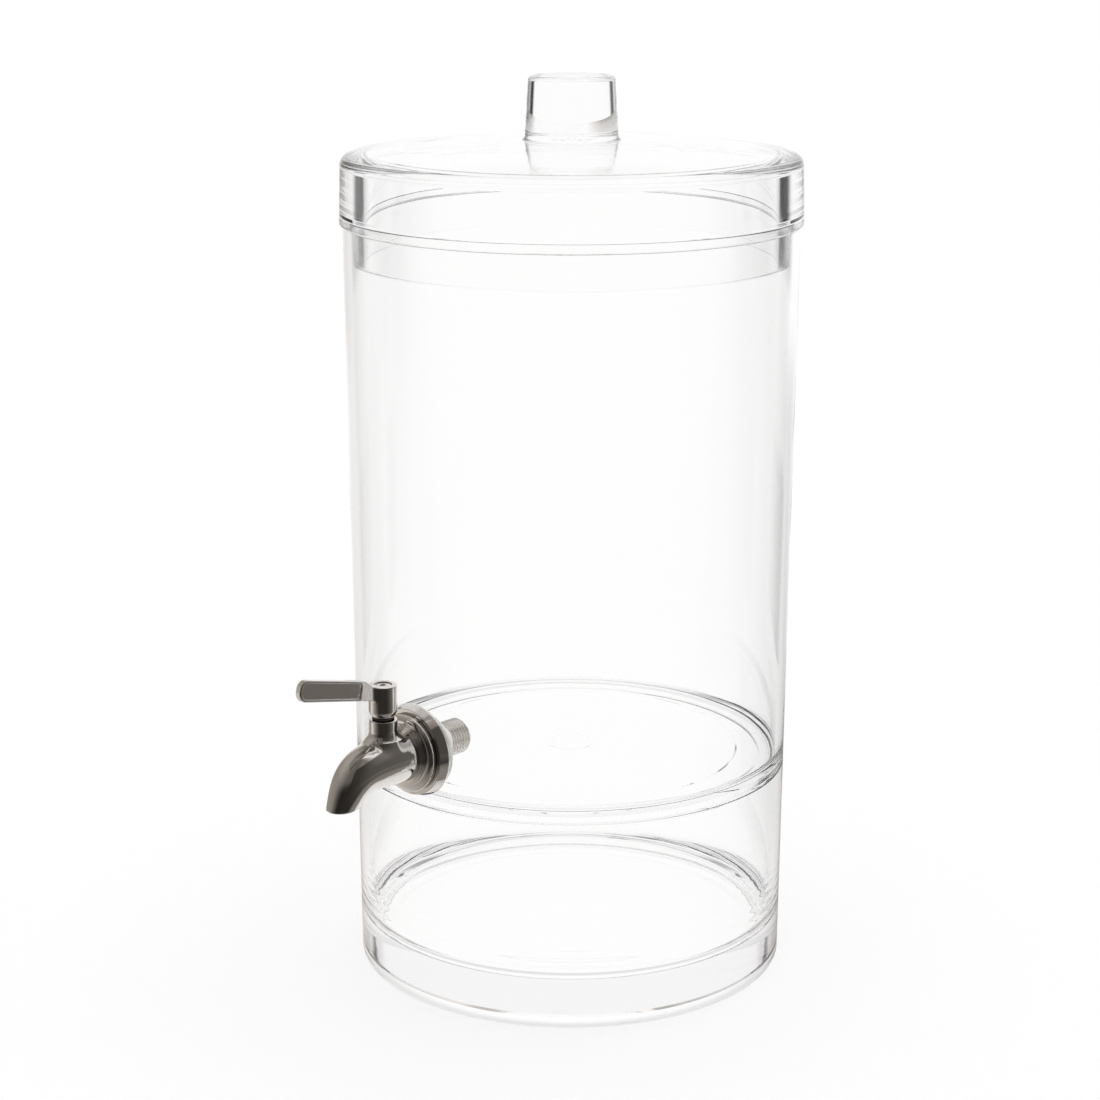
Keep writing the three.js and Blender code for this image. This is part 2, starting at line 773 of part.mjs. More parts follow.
// Side view of the lever's blade, along it and square to it, from its lower edge at the boss's axis.
function bladeShape(margin) {
  const low = margin;
  const shape = new THREE.Shape();
  const tip = leverReach - margin;
  const round = leverTipRound - margin / 2;
  if (margin > 0) {
    shape.moveTo(leverPanelStart, low);
  } else {
    shape.moveTo(leverBladeStart, low);
  }
  shape.lineTo(tip - round, low);
  shape.absarc(tip - round, low + round, round, -quarterTurn, 0, false);
  const topAtTip = leverTipHeight - margin;
  shape.lineTo(tip, topAtTip - round);
  shape.absarc(tip - round, topAtTip - round, round, 0, quarterTurn, false);
  if (margin > 0) {
    shape.lineTo(leverPanelStart, leverHeelHeight - margin);
  } else {
    shape.lineTo(leverShoulderEnd, leverHeelHeight);
    shape.bezierCurveTo(
      (leverShoulderEnd + leverNeckEnd) / 2, leverHeelHeight,
      (leverShoulderEnd + leverNeckEnd) / 2, leverNeckHeight,
      leverNeckEnd, leverNeckHeight,
    );
    shape.lineTo(leverBladeStart, leverNeckHeight);
  }
  return shape;
}

// Stands a side-view outline up in the tap's plane at the lever's rise.
function standBlade(shape, thickness) {
  return new THREE.ExtrudeGeometry(shape, { depth: thickness, bevelEnabled: false, curveSegments: arcSteps })
    .translate(0, 0, -thickness / 2)
    .rotateX(quarterTurn)
    .rotateZ(-quarterTurn)
    .rotateX(-THREE.MathUtils.degToRad(leverRiseDeg))
    .translate(0, -towerReach, bossFoot + leverRoot);
}

// Lever: boss over the spindle and a slim rising blade with a sunken panel on each side.
function makeLever() {
  const boss = turnedOnTower(
    [
      [0, bossFoot],
      [bossFootRadius, bossFoot],
      [bossRadius, bossFoot + bossFootHeight],
      [bossRadius, bossTop - bossEdge],
      [bossRadius - bossEdge, bossTop],
      [0, bossTop],
    ],
    fittingSteps,
  );
  const blade = standBlade(bladeShape(0), leverThickness);
  const panelCut = standBlade(bladeShape(leverPanelMargin), 2 * leverThickness);
  const core = standBlade(bladeShape(leverPanelMargin), leverThickness - 2 * leverPanelDepth);
  const roof = spindleTop + seatGap;
  const boreTop = turnedOnTower(rodOutline(spindleHole, bossFoot - cutOverrun, roof), smallSteps);
  const drive = shared(boreTop, flatsBar(driveFlats + 2 * runGap, bossFoot - cutOverrun, roof));
  const relief = turnedOnTower(rodOutline(spindleHole, bossFoot - cutOverrun, bossFoot + runGap), smallSteps);
  const screwHole = turnedOnTower(
    [
      [0, spindleTop],
      [screwRadius + seatGap, spindleTop],
      [screwRadius + seatGap, screwSeat],
      [screwHeadRadius + seatGap, screwSeat],
      [screwHeadRadius + seatGap, bossTop + cutOverrun],
      [0, bossTop + cutOverrun],
    ],
    smallSteps,
  );
  const slimBlade = joined([cut([blade, panelCut]), core]);
  return cut([joined([boss, slimBlade]), drive, relief, screwHole]);
}

// Screw with a hexagonal socket that holds the lever on the spindle.
function makeLeverScrew() {
  const base = screwSeat + seatGap;
  const top = base + screwHeadHeight;
  const screw = turnedOnTower(
    [
      [0, screwTip],
      [screwRadius, screwTip],
      [screwRadius, base],
      [screwHeadRadius, base],
      [screwHeadRadius, top],
      [0, top],
    ],
    smallSteps,
  );
  const corner = hexCorner(screwSocket);
  const socket = turnedOnTower(rodOutline(corner, top - screwSocketDepth, top + cutOverrun), hexSides);
  return cut([screw, socket]);
}

const group = new THREE.Group();
group.name = "juice_dispenser";

function addPiece(name, geometry, material) {
  const piece = new THREE.Mesh(geometry, new THREE.MeshStandardMaterial(material));
  piece.name = name;
  group.add(piece);
  return piece;
}

addPiece("base_chamber", makeBase(), clearPlastic);
addPiece("container", makeContainer(), clearPlastic);
addPiece("lid", makeLid(), clearPlastic);
addPiece("lid_knob", makeKnob(), clearPlastic);
addPiece("tap_body", makeTapBody(), polishedSteel);
addPiece("tap_shank", makeShank(), turnedSteel);
addPiece("tap_collar", makeCollar(), polishedSteel);
addPiece("outer_gasket", makeOuterGasket(), silicone);
addPiece("inner_gasket", makeInnerGasket(), silicone);
addPiece("inner_washer", makeInnerWasher(), turnedSteel);
addPiece("lock_nut", makeNut(), whiteNylon);
addPiece("shank_seal", makeShankSeal(), blackRubber);
addPiece("valve_seat_inlet", makeSeat(-1), whiteNylon);
addPiece("valve_seat_outlet", makeSeat(1), whiteNylon);
addPiece("valve", makeValve(), turnedSteel);
addPiece("spindle", makeSpindle(), turnedSteel);
addPiece("spindle_ring_upper", makeSpindleRing(upperGrooveDrop), blackRubber);
addPiece("spindle_ring_lower", makeSpindleRing(upperGrooveDrop + grooveSpacing), blackRubber);
addPiece("gland", makeGland(), turnedSteel);
addPiece("spindle_washer", makeSpindleWasher(), blackRubber);
addPiece("lever", makeLever(), polishedSteel);
addPiece("lever_screw", makeLeverScrew(), turnedSteel);

const outlineMiddle = new THREE.Box3().setFromObject(group).getCenter(new THREE.Vector3());
group.position.set(0, -outlineMiddle.y, 0);

export default group;
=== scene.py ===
"""Looks of a clear two-chamber juice dispenser with a polished steel lever tap, in metres."""
import json
import math

import bpy
import numpy as np
from mathutils import Matrix, Vector

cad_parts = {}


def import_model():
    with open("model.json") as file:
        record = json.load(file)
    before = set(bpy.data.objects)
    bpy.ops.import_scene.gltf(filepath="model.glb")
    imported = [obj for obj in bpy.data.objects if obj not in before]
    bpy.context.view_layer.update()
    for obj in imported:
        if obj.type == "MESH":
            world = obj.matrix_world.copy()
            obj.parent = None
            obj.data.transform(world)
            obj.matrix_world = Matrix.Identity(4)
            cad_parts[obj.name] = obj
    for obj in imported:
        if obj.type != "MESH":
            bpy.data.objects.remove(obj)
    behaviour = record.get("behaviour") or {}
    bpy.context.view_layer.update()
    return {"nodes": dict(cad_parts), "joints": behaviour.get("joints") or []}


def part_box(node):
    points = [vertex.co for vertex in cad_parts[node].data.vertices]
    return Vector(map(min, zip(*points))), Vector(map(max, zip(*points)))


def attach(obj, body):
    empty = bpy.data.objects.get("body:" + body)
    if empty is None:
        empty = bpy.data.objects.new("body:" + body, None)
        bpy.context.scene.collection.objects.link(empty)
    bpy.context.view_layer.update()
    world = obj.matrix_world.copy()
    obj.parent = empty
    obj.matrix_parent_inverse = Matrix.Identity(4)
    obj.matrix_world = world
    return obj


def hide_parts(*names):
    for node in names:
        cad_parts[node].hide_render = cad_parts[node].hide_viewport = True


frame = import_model()

# Facets
CLEAR_STEPS = 288
FITTING_STEPS = 160
ARC_STEPS = 14
DOME_STEPS = 40
EDGE_STEPS = 4
LINE_STEPS = 80
SHANK_STEPS = 72
NUT_SIDE_STEPS = 24
SOCKET_SIDE_STEPS = 12
THREAD_ROWS = 10
CASTING_CELL = 0.00042
LEVER_CELL = 0.00028
CREASE = math.radians(24)
TINY = 1e-9

# The clear body's sizes
FOOT_RADIUS = 0.1
DRAFT = math.radians(0.472)
BASE_WALL = 0.0038
BASE_FLOOR_TOP = 0.0195
BASE_RECESS = 0.005
FOOT_RING = 0.004
RECESS_CHAMFER = 0.001
FOOT_EDGE = 0.0012
BASE_RIM_EDGE = 0.0008
COVE_WIDTH = 0.013
COVE_HEIGHT = 0.009
RIPPLE_PITCH = 0.0046
RIPPLE_DEPTH = 0.0001
RIPPLE_COUNT = 6
CONTAINER_WALL = 0.0038
FLOOR_THICKNESS = 0.0036
UNDERSIDE_RISE = 0.0009
RING_WIDTH = 0.007
RING_CLEARANCE = 0.0005
RING_DEPTH = 0.002
FLOOR_FILLET = 0.0044
FLOOR_RECESS_RADIUS = 0.078
FLOOR_RECESS_DEPTH = 0.0008
GATE_RADIUS = 0.011
GATE_DEPTH = 0.0005
REBATE_DEPTH = 0.0017
REBATE_HEIGHT = 0.004
RIM_EDGE = 0.0006

# Lid and knob
LID_CORNER_DROP = 0.006
LID_CORNER = 0.0045
LID_TAPER = 0.0008
LID_PLATE = 0.0046
SKIRT_CLEARANCE = 0.0005
SKIRT_EDGE = 0.0012
PLUG_RADIUS = 0.0984
PLUG_WALL = 0.005
PLUG_EDGE = 0.0008
LID_FILLET = 0.003
KNOB_TOP_RADIUS = 0.0196
KNOB_FOOT_RADIUS = 0.0209
KNOB_FLARE = 0.0011
KNOB_FLARE_HEIGHT = 0.0016
KNOB_TOP_EDGE = 0.0026
PAD_MARGIN = 0.0012
PIP_RADIUS = 0.0017
PIP_HEIGHT = 0.0012
SOCKET_RADIUS = 0.0022
SOCKET_HEIGHT = 0.0016
DIMPLE_RADIUS = 0.0075
DIMPLE_DEPTH = 0.0003

# Gaps and edges, and the most of a segment that rounding its corner takes
SEAT_GAP = 0.0003
FINE_EDGE = 0.0002
CORNER_SHARE = 0.45

# Spout and tower
FLANGE_THICKNESS = 0.0036
FLANGE_DOME_WIDTH = 0.0034
FLANGE_DOME_HEIGHT = 0.0019
OUTER_NECK = 0.0138
INNER_NECK = 0.013
NECK_STEP = 0.0009
BARREL_INSET = 0.0027
SPOUT_OVERHANG = 0.0287
SPOUT_DROP = 0.02
BEND_START_SHARE = 0.75
BEND_END_SHARE = 0.26
HORN_RADII = (0.0122, 0.0115, 0.0055)
MOUTH_DROP = 0.0155
MOUTH_EDGE = 0.0007
FLOW_BORE = 0.0049
BORE_TOP = -0.002
TOWER_RADIUS = 0.0062
TOWER_FLARE = 0.002
TOWER_FLARE_HEIGHT = 0.0045
TOWER_ROOT = 0.0105
TOWER_EDGE = 0.0005
TOWER_BLEND = 0.0032
FLARE_LIMIT = 0.98
HORN_ROUNDS = 4
LEAST_RATE = 1e-6

# Fittings at the wall
COLLAR_FACE = 0.0195
COLLAR_EDGE = 0.001
SHANK_HOLE = 0.0083
SHANK_BORE = 0.005
THREAD_PITCH = 0.0016
THREAD_DEPTH = 0.0009
THREAD_CREST = 0.3
SHANK_CHAMFER = 0.0008
NUT_CHAMFER = 0.0006
HEX_SIDES = 6
SOFT_EDGE = 1.5 * FINE_EDGE
SOFT_ROUND_SHARE = 0.08

# Lever, from the boss's axis and the blade's lower edge
BOSS_FOOT_RADIUS = 0.0051
BOSS_FOOT_HEIGHT = 0.0032
BOSS_EDGE = 0.0005
SCREW_RECESS_RADIUS = 0.0039
SCREW_RECESS_DEPTH = 0.0021
SOCKET_DEPTH = 0.0011
SOCKET_FLATS = 0.0025
SCREW_SHAFT_SHARE = 0.42
SCREW_ROUND_SHARE = 0.3
BLADE_ROOT = 0.007
BLADE_RISE = math.radians(12.9)
BLADE_REACH = 0.0516
BLADE_THICKNESS = 0.0032
BLADE_START = 0.003
NECK_HEIGHT = 0.0061
NECK_END = 0.0076
SHOULDER_END = 0.015
HEEL_HEIGHT = 0.0089
TIP_HEIGHT = 0.0096
TIP_ROUND = 0.0042
BLADE_EDGE = 0.00055
PANEL_START = 0.0155
PANEL_MARGIN = 0.0011
PANEL_TIP_ROUND = 0.0034
PANEL_HEEL_ROUND = 0.0014
PANEL_DEPTH = 0.0004
PANEL_EDGE = 0.00018
BOSS_BLEND = 0.0016
RIB_PITCH = 0.0011
RIB_DEPTH = 0.00014

# Where the frame puts things
base_low, base_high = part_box("base_chamber")
container_low, container_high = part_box("container")
lid_low, lid_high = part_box("lid")
knob_low, knob_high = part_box("lid_knob")
shank_low, shank_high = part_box("tap_shank")
tap_low, tap_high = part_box("tap_body")
lever_low, lever_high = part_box("lever")
AXIS_Y = (base_low.y + base_high.y) / 2
TAP_HEIGHT = (shank_low.z + shank_high.z) / 2
TOWER_Y = next(j for j in frame["joints"] if j["name"] == "lever_turn")["pos_m"][1]
TOWER_REACH = AXIS_Y - TOWER_Y
TOWER_TOP = tap_high.z
FLANGE_RADIUS = tap_high.x
FLANGE_BACK = AXIS_Y - tap_high.y
FLANGE_FRONT = FLANGE_BACK + FLANGE_THICKNESS
BOSS_RADIUS = lever_high.x
BOSS_FOOT = lever_low.z
BOSS_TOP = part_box("lever_screw")[1].z + SEAT_GAP
BODY_AXIS = Matrix.Translation((0, AXIS_Y, 0))
TAP_AXIS = Matrix.Translation((0, AXIS_Y, TAP_HEIGHT)) @ Matrix.Rotation(math.pi / 2, 4, "X")
TOWER_AXIS = Matrix.Translation((0, TOWER_Y, 0))


def reaches(node):
    """Least and greatest distance of a CAD node from the body's axis, towards the tap."""
    low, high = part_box(node)
    return AXIS_Y - high.y, AXIS_Y - low.y


def body_radius(height):
    """Outside radius of the clear body."""
    return FOOT_RADIUS + height * math.tan(DRAFT)


def base_inside(height):
    """Inside radius of the base's wall."""
    return body_radius(height) - BASE_WALL


def container_inside(height):
    """Inside radius of the container's wall."""
    return body_radius(height) - CONTAINER_WALL


def arc(centre_r, centre_h, radius, start, end, steps=ARC_STEPS, flat=1.0):
    """Points of an arc, with its angles in degrees."""
    angles = [math.radians(start + (end - start) * i / steps) for i in range(steps + 1)]
    return [(centre_r + radius * math.cos(a), centre_h + flat * radius * math.sin(a)) for a in angles]


def new_object(name, mesh, body, finish, *nodes):
    """Links a mesh in its finish that rides on a body and stands for its CAD nodes."""
    slot, material = finish
    mesh.materials.append(material)
    piece = bpy.data.objects.new(name, mesh)
    bpy.context.scene.collection.objects.link(piece)
    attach(piece, body)
    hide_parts(*nodes)


def soften(outline, radius=FINE_EDGE):
    """Rounds every corner inside an outline."""
    points = [tuple(outline[0])]
    for before, corner, after in zip(outline, outline[1:], outline[2:]):
        corner = np.array(corner)
        back, ahead = np.array(before) - corner, np.array(after) - corner
        back_length, ahead_length = np.linalg.norm(back), np.linalg.norm(ahead)
        run = min(radius, CORNER_SHARE * back_length, CORNER_SHARE * ahead_length)
        start = corner + back / back_length * run
        end = corner + ahead / ahead_length * run
        for i in range(EDGE_STEPS + 1):
            t = i / EDGE_STEPS
            points.append(tuple((1 - t) ** 2 * start + 2 * t * (1 - t) * corner + t * t * end))
    points.append(tuple(outline[-1]))
    return points


def outline_normals(outline):
    """Normals at both ends of each segment of an outline, smooth where it bends gently."""
    points = np.array(outline)
    runs = np.diff(points, axis=0)
    lengths = np.hypot(runs[:, 0], runs[:, 1])
    normals = np.stack([runs[:, 1], -runs[:, 0]], 1) / lengths[:, None]
    starts, ends = normals.copy(), normals.copy()
    closed = np.allclose(points[0], points[-1])
    count = len(runs)
    for i in range(count if closed else count - 1):
        after = (i + 1) % count
        if normals[i] @ normals[after] > math.cos(CREASE):
            both = normals[i] * lengths[i] + normals[after] * lengths[after]
            both /= np.linalg.norm(both)
            ends[i] = starts[after] = both
    return starts, ends


def lathe(name, outline, steps, place=Matrix.Identity(4)):
    """A mesh turned about the Z axis, with exact normals, then moved by a matrix."""
    starts, ends = outline_normals(outline)
    closed = math.dist(outline[0], outline[-1]) < TINY
    angles = np.arange(steps) * 2 * math.pi / steps
    turn = np.stack([np.cos(angles), np.sin(angles)], 1)
    verts, rings = [], []
    for r, h in outline[:-1] if closed else outline:
        rings.append((len(verts), r > TINY))
        if r > TINY:
            verts += [(r * c, r * s, h) for c, s in turn]
        else:
            verts.append((0.0, 0.0, h))
    if closed:
        rings.append(rings[0])
    faces, normals = [], []
    for i in range(len(outline) - 1):
        (low, low_ring), (high, high_ring) = rings[i], rings[i + 1]
        for j in range(steps):
            k = (j + 1) % steps
            below = [(low + j, starts[i], j), (low + k, starts[i], k)] if low_ring else [(low, starts[i], j)]
            above = [(high + k, ends[i], k), (high + j, ends[i], j)] if high_ring else [(high, ends[i], j)]
            corners = below + above
            faces.append([c[0] for c in corners])
            normals += [(n[0] * turn[t][0], n[0] * turn[t][1], n[1]) for _, n, t in corners]
    mesh = bpy.data.meshes.new(name)
    mesh.from_pydata([place @ Vector(v) for v in verts], [], faces)
    mesh.shade_smooth()
    spin = place.to_3x3()
    mesh.normals_split_custom_set([(spin @ Vector(n)).normalized() for n in normals])
    mesh.update()
    return mesh


def loft(name, rings, closed):
    """A mesh through rings of points, joined end to end or closed by a cap at each end."""
    count, steps = len(rings), len(rings[0])
    faces = []
    for i in range(count if closed else count - 1):
        low, high = i * steps, (i + 1) % count * steps
        faces += [(low + j, low + (j + 1) % steps, high + (j + 1) % steps, high + j) for j in range(steps)]
    if not closed:
        faces.append(list(range(steps))[::-1])
        faces.append([(count - 1) * steps + j for j in range(steps)])
    mesh = bpy.data.meshes.new(name)
    mesh.from_pydata([tuple(p) for ring in rings for p in ring], [], faces)
    mesh.shade_smooth()
    mesh.set_sharp_from_angle(angle=CREASE)
    return mesh


# Shapes given by a field: negative inside, positive outside, about a distance in metres. Points found on a
# grid settle onto the surface in a few rounds.
PROBES_PER_CELL = 20
SETTLE_ROUNDS = 3
LEAST_SLOPE = 0.05


def blend_min(a, b, size):
    """The nearer of two shapes, with a fillet between them."""
    near = np.maximum(size - np.abs(a - b), 0)
    return np.minimum(a, b) - near * near / (4 * size)


def blend_max(a, b, size):
    """What two shapes share, with its edge rounded."""
    return -blend_min(-a, -b, size)


def round_max(a, b, radius):
    """What two shapes share, with its edge rounded by a true radius."""
    outside = np.hypot(np.maximum(a + radius, 0), np.maximum(b + radius, 0))
    return np.minimum(np.maximum(a, b), -radius) + outside


def skin(name, field, low, high, cell):
    """A closed mesh where a field is zero, with the field's own slope as its normals."""
    low = np.array(low) - 2 * cell
    counts = np.ceil((np.array(high) + 2 * cell - low) / cell).astype(int) + 1
    x, y, z = (low[i] + cell * np.arange(counts[i]) for i in range(3))
    grid = field(x[:, None, None], y[None, :, None], z[None, None, :])
    inside = grid < 0
    quads, crossings = [], []
    for axis in range(3):
        first = [slice(None)] * 3
        second = [slice(None)] * 3
        first[axis], second[axis] = slice(None, -1), slice(1, None)
        edges = np.argwhere(inside[tuple(first)] != inside[tuple(second)])
        ends = edges.copy()
        ends[:, axis] += 1
        start_value, end_value = grid[tuple(edges.T)], grid[tuple(ends.T)]
        crossing = edges.astype(float)
        crossing[:, axis] += start_value / (start_value - end_value)
        corners = []
        for back, side in ((0, 0), (1, 0), (1, 1), (0, 1)):
            cells = edges.copy()
            cells[:, (axis + 1) % 3] -= back
            cells[:, (axis + 2) % 3] -= side
            corners.append(np.ravel_multi_index(cells.T, grid.shape))
        quad = np.stack(corners, 1)
        quad[start_value > 0] = quad[start_value > 0, ::-1]
        quads.append(quad)
        crossings.append(crossing)
    quads, crossings = np.concatenate(quads), np.concatenate(crossings)
    cells, index = np.unique(quads, return_inverse=True)
    index = index.reshape(quads.shape)
    shares = np.bincount(index.ravel())
    middle = [np.bincount(index.ravel(), np.repeat(crossings[:, i], 4)) / shares for i in range(3)]
    points = low + cell * np.stack(middle, 1)
    step = cell / PROBES_PER_CELL

    def slope(at):
        """How fast the field rises along each axis."""
        parts = []
        for i in range(3):
            shift = np.zeros(3)
            shift[i] = step
            parts.append((field(*(at + shift).T) - field(*(at - shift).T)) / (2 * step))
        return np.stack(parts, 1)

    for _ in range(SETTLE_ROUNDS):
        fall = slope(points)
        move = fall * (field(*points.T) / np.maximum((fall ** 2).sum(1), LEAST_SLOPE))[:, None]
        points -= np.clip(move, -cell / 2, cell / 2)
    fall = slope(points)
    fall /= np.linalg.norm(fall, axis=1)[:, None]
    mesh = bpy.data.meshes.new(name)
    mesh.from_pydata(points.tolist(), [], index.tolist())
    mesh.shade_smooth()
    mesh.normals_split_custom_set_from_vertices(fall.tolist())
    return mesh


# Materials, whose patterns are laid out in metres in the frame
PLASTIC_WAVE_SCALE = 38
PLASTIC_WAVE_STRETCH = (1, 1, 0.45)
PLASTIC_WAVE_DEPTH = 0.00006
PLASTIC_SCUFF_SCALE = 420
PLASTIC_SCUFF_STRETCH = (1, 1, 0.3)
PLASTIC_SCUFF_RANGE = (0.62, 0.8)
PLASTIC_SCUFF_ROUGHNESS = 0.05
PLASTIC_TONE_SCALE = 25
PLASTIC_DARK = (0.997, 0.997, 0.996)
PLASTIC_LIGHT = (1.0, 1.0, 0.999)
PLASTIC_IOR = 1.5
PLASTIC_MIRROR_TINT = (0.06, 0.06, 0.06, 1)
PLASTIC_SHADE = (0.975, 0.975, 0.975, 1)
PLASTIC_DEPTH_COLOUR = (0.93, 0.92, 0.925, 1)
PLASTIC_DEPTH_DENSITY = 5.0
STEEL_WAVE_SCALE = 210
STEEL_TONE_SCALE = 90
SCRATCH_STRETCH = (1, 1, 0.12)
SCRATCH_RANGE = (0.3, 0.75)
SCRATCH_DEPTH_SHARE = 0.03
SCRATCH_STRENGTH = 0.6
SPECKLE_RANGE = (0.3, 0.7)
SPECKLES_PER_TONE = 6
SOFT_IOR = 1.42


def node(tree, kind, inputs=None, **settings):
    """Adds a shader node; an input that is a socket is linked, and any other value is set."""
    made = tree.nodes.new("ShaderNode" + kind)
    for key, value in settings.items():
        setattr(made, key, value)
    for key, value in (inputs or {}).items():
        if isinstance(value, bpy.types.NodeSocket):
            tree.links.new(value, made.inputs[key])
        else:
            made.inputs[key].default_value = value
    return made


def calc(tree, operation, first, second=0.0):
    """The result of one Math node."""
    return node(tree, "Math", {0: first, 1: second}, operation=operation).outputs[0]


def fit(tree, value, low, high, to_low, to_high, smooth=True):
    """Carries a value from one range to another."""
    kind = "SMOOTHSTEP" if smooth else "LINEAR"
    inputs = {"Value": value, "From Min": low, "From Max": high, "To Min": to_low, "To Max": to_high}
    return node(tree, "MapRange", inputs, interpolation_type=kind).outputs[0]


def noise(tree, scale, detail=2.0, stretch=(1, 1, 1)):
    """Noise over the piece, its features about one over the scale in metres."""
    place = node(tree, "TexCoord").outputs["Object"]
    mapped = node(tree, "Mapping", {"Vector": place, "Scale": stretch}).outputs[0]
    return node(tree, "TexNoise", {"Vector": mapped, "Scale": scale, "Detail": detail}).outputs["Fac"]


def bump(tree, height, depth, strength=1.0, under=None):
    """A normal raised by a height pattern to a depth in metres, over another normal if there is one."""
    inputs = {"Height": height, "Distance": depth, "Strength": strength}
    if under is not None:
        inputs["Normal"] = under
    return node(tree, "Bump", inputs).outputs["Normal"]


def tone(tree, value, dark, light):
    """A colour between two by a value from 0 to 1."""
    mixed = node(tree, "Mix", {"Factor": value, "A": (*dark, 1), "B": (*light, 1)}, data_type="RGBA")
    return mixed.outputs["Result"]


def blank(name):
    """A new material and its empty node tree."""
    material = bpy.data.materials.new(name)
    material.use_nodes = True
    material.node_tree.nodes.clear()
    return material, material.node_tree


def clear_plastic():
    """Clear moulded plastic: faint flow waves, light scuffs, and a little colour where it is thick."""
    material, tree = blank("clear plastic")
    flow = noise(tree, PLASTIC_WAVE_SCALE, detail=1.0, stretch=PLASTIC_WAVE_STRETCH)
    waves = bump(tree, flow, PLASTIC_WAVE_DEPTH)
    rubs = noise(tree, PLASTIC_SCUFF_SCALE, detail=4.0, stretch=PLASTIC_SCUFF_STRETCH)
    scuffs = fit(tree, rubs, *PLASTIC_SCUFF_RANGE, 0.0, PLASTIC_SCUFF_ROUGHNESS)
    shell = node(tree, "BsdfPrincipled", {
        "Base Color": tone(tree, noise(tree, PLASTIC_TONE_SCALE), PLASTIC_DARK, PLASTIC_LIGHT),
        "Roughness": scuffs, "IOR": PLASTIC_IOR, "Transmission Weight": 1.0,
        "Specular Tint": PLASTIC_MIRROR_TINT, "Normal": waves,
    })
    passing = node(tree, "BsdfTransparent", {"Color": PLASTIC_SHADE})
    path = node(tree, "LightPath").outputs
    soft = calc(tree, "MAXIMUM", path["Is Shadow Ray"], path["Is Diffuse Ray"])
    mix = node(tree, "MixShader", {0: soft, 1: shell.outputs[0], 2: passing.outputs[0]})
    depth = node(tree, "VolumeAbsorption", {"Color": PLASTIC_DEPTH_COLOUR, "Density": PLASTIC_DEPTH_DENSITY})
    node(tree, "OutputMaterial", {"Surface": mix.outputs[0], "Volume": depth.outputs[0]})
    return material


def steel(name, dark, light, smoothest, roughest, wave_depth, grain):
    """Steel with soft polishing waves, fine scratches and a slightly uneven tone."""
    material, tree = blank(name)
    scratches = noise(tree, grain, detail=5.0, stretch=SCRATCH_STRETCH)
    waves = bump(tree, noise(tree, STEEL_WAVE_SCALE, detail=1.5), wave_depth)
    fine = bump(tree, scratches, wave_depth * SCRATCH_DEPTH_SHARE, SCRATCH_STRENGTH, waves)
    shell = node(tree, "BsdfPrincipled", {
        "Base Color": tone(tree, noise(tree, STEEL_TONE_SCALE, detail=3.0), dark, light), "Metallic": 1.0,
        "Roughness": fit(tree, scratches, *SCRATCH_RANGE, smoothest, roughest), "Normal": fine,
    })
    node(tree, "OutputMaterial", {"Surface": shell.outputs[0]})
    return material


def soft_material(name, dark, light, smoothest, roughest, grain, depth, clear=0.0):
    """Moulded soft or hard polymer with a fine grain."""
    material, tree = blank(name)
    speckle = noise(tree, grain, detail=4.0)
    shell = node(tree, "BsdfPrincipled", {
        "Base Color": tone(tree, noise(tree, grain / SPECKLES_PER_TONE), dark, light),
        "Roughness": fit(tree, speckle, *SPECKLE_RANGE, smoothest, roughest), "Transmission Weight": clear,
        "IOR": SOFT_IOR, "Normal": bump(tree, speckle, depth),
    })
    node(tree, "OutputMaterial", {"Surface": shell.outputs[0]})
    return material


# Finishes, each a slot of the record and its material
CLEAR = ("clear_plastic", clear_plastic())
POLISHED = ("polished_steel", steel(
    "polished steel", dark=(0.71, 0.68, 0.645), light=(0.77, 0.745, 0.715), smoothest=0.02, roughest=0.07,
    wave_depth=0.00007, grain=2600,
))
TURNED = ("turned_steel", steel(
    "turned steel", dark=(0.66, 0.63, 0.595), light=(0.75, 0.72, 0.685), smoothest=0.07, roughest=0.18,
    wave_depth=0.00003, grain=5200,
))
SILICONE = ("silicone", soft_material(
    "pale silicone", dark=(0.74, 0.75, 0.72), light=(0.86, 0.87, 0.85), smoothest=0.35, roughest=0.55,
    grain=1900, depth=0.00004, clear=0.3,
))
RUBBER = ("black_rubber", soft_material(
    "black rubber", dark=(0.012, 0.012, 0.012), light=(0.03, 0.029, 0.028), smoothest=0.45, roughest=0.7,
    grain=2400, depth=0.00004,
))
NYLON = ("white_nylon", soft_material(
    "white nylon", dark=(0.8, 0.79, 0.76), light=(0.88, 0.87, 0.85), smoothest=0.3, roughest=0.5,
    grain=1500, depth=0.00003,
))


# Clear pieces

def base_outline():
    """Base with a thick slab, a cove round its floor, and a recess underneath."""
    top = base_high.z
    cove_top = BASE_FLOOR_TOP + COVE_HEIGHT
    recess = FOOT_RADIUS - FOOT_RING
    ripples = []
    steps = RIPPLE_COUNT * ARC_STEPS
    for i in range(steps - 1, 0, -1):
        height = cove_top + i * RIPPLE_PITCH / ARC_STEPS
        swell = 0.5 * RIPPLE_DEPTH * (1 - i / steps) * (1 - math.cos(2 * math.pi * i / ARC_STEPS))
        ripples.append((base_inside(height) - swell, height))
    return [
        (0, BASE_RECESS),
        (recess - RECESS_CHAMFER, BASE_RECESS),
        (recess, BASE_RECESS - RECESS_CHAMFER),
        (recess, 0),
        *arc(FOOT_RADIUS - FOOT_EDGE, FOOT_EDGE, FOOT_EDGE, -90, 0),
        *arc(body_radius(top) - BASE_RIM_EDGE, top - BASE_RIM_EDGE, BASE_RIM_EDGE, 0, 90),
        *arc(base_inside(top) + BASE_RIM_EDGE, top - BASE_RIM_EDGE, BASE_RIM_EDGE, 90, 180),
        *ripples,
        *arc(base_inside(cove_top) - COVE_WIDTH, cove_top, COVE_WIDTH, 0, -90, 2 * ARC_STEPS,
             COVE_HEIGHT / COVE_WIDTH),
        (0, BASE_FLOOR_TOP),
    ]


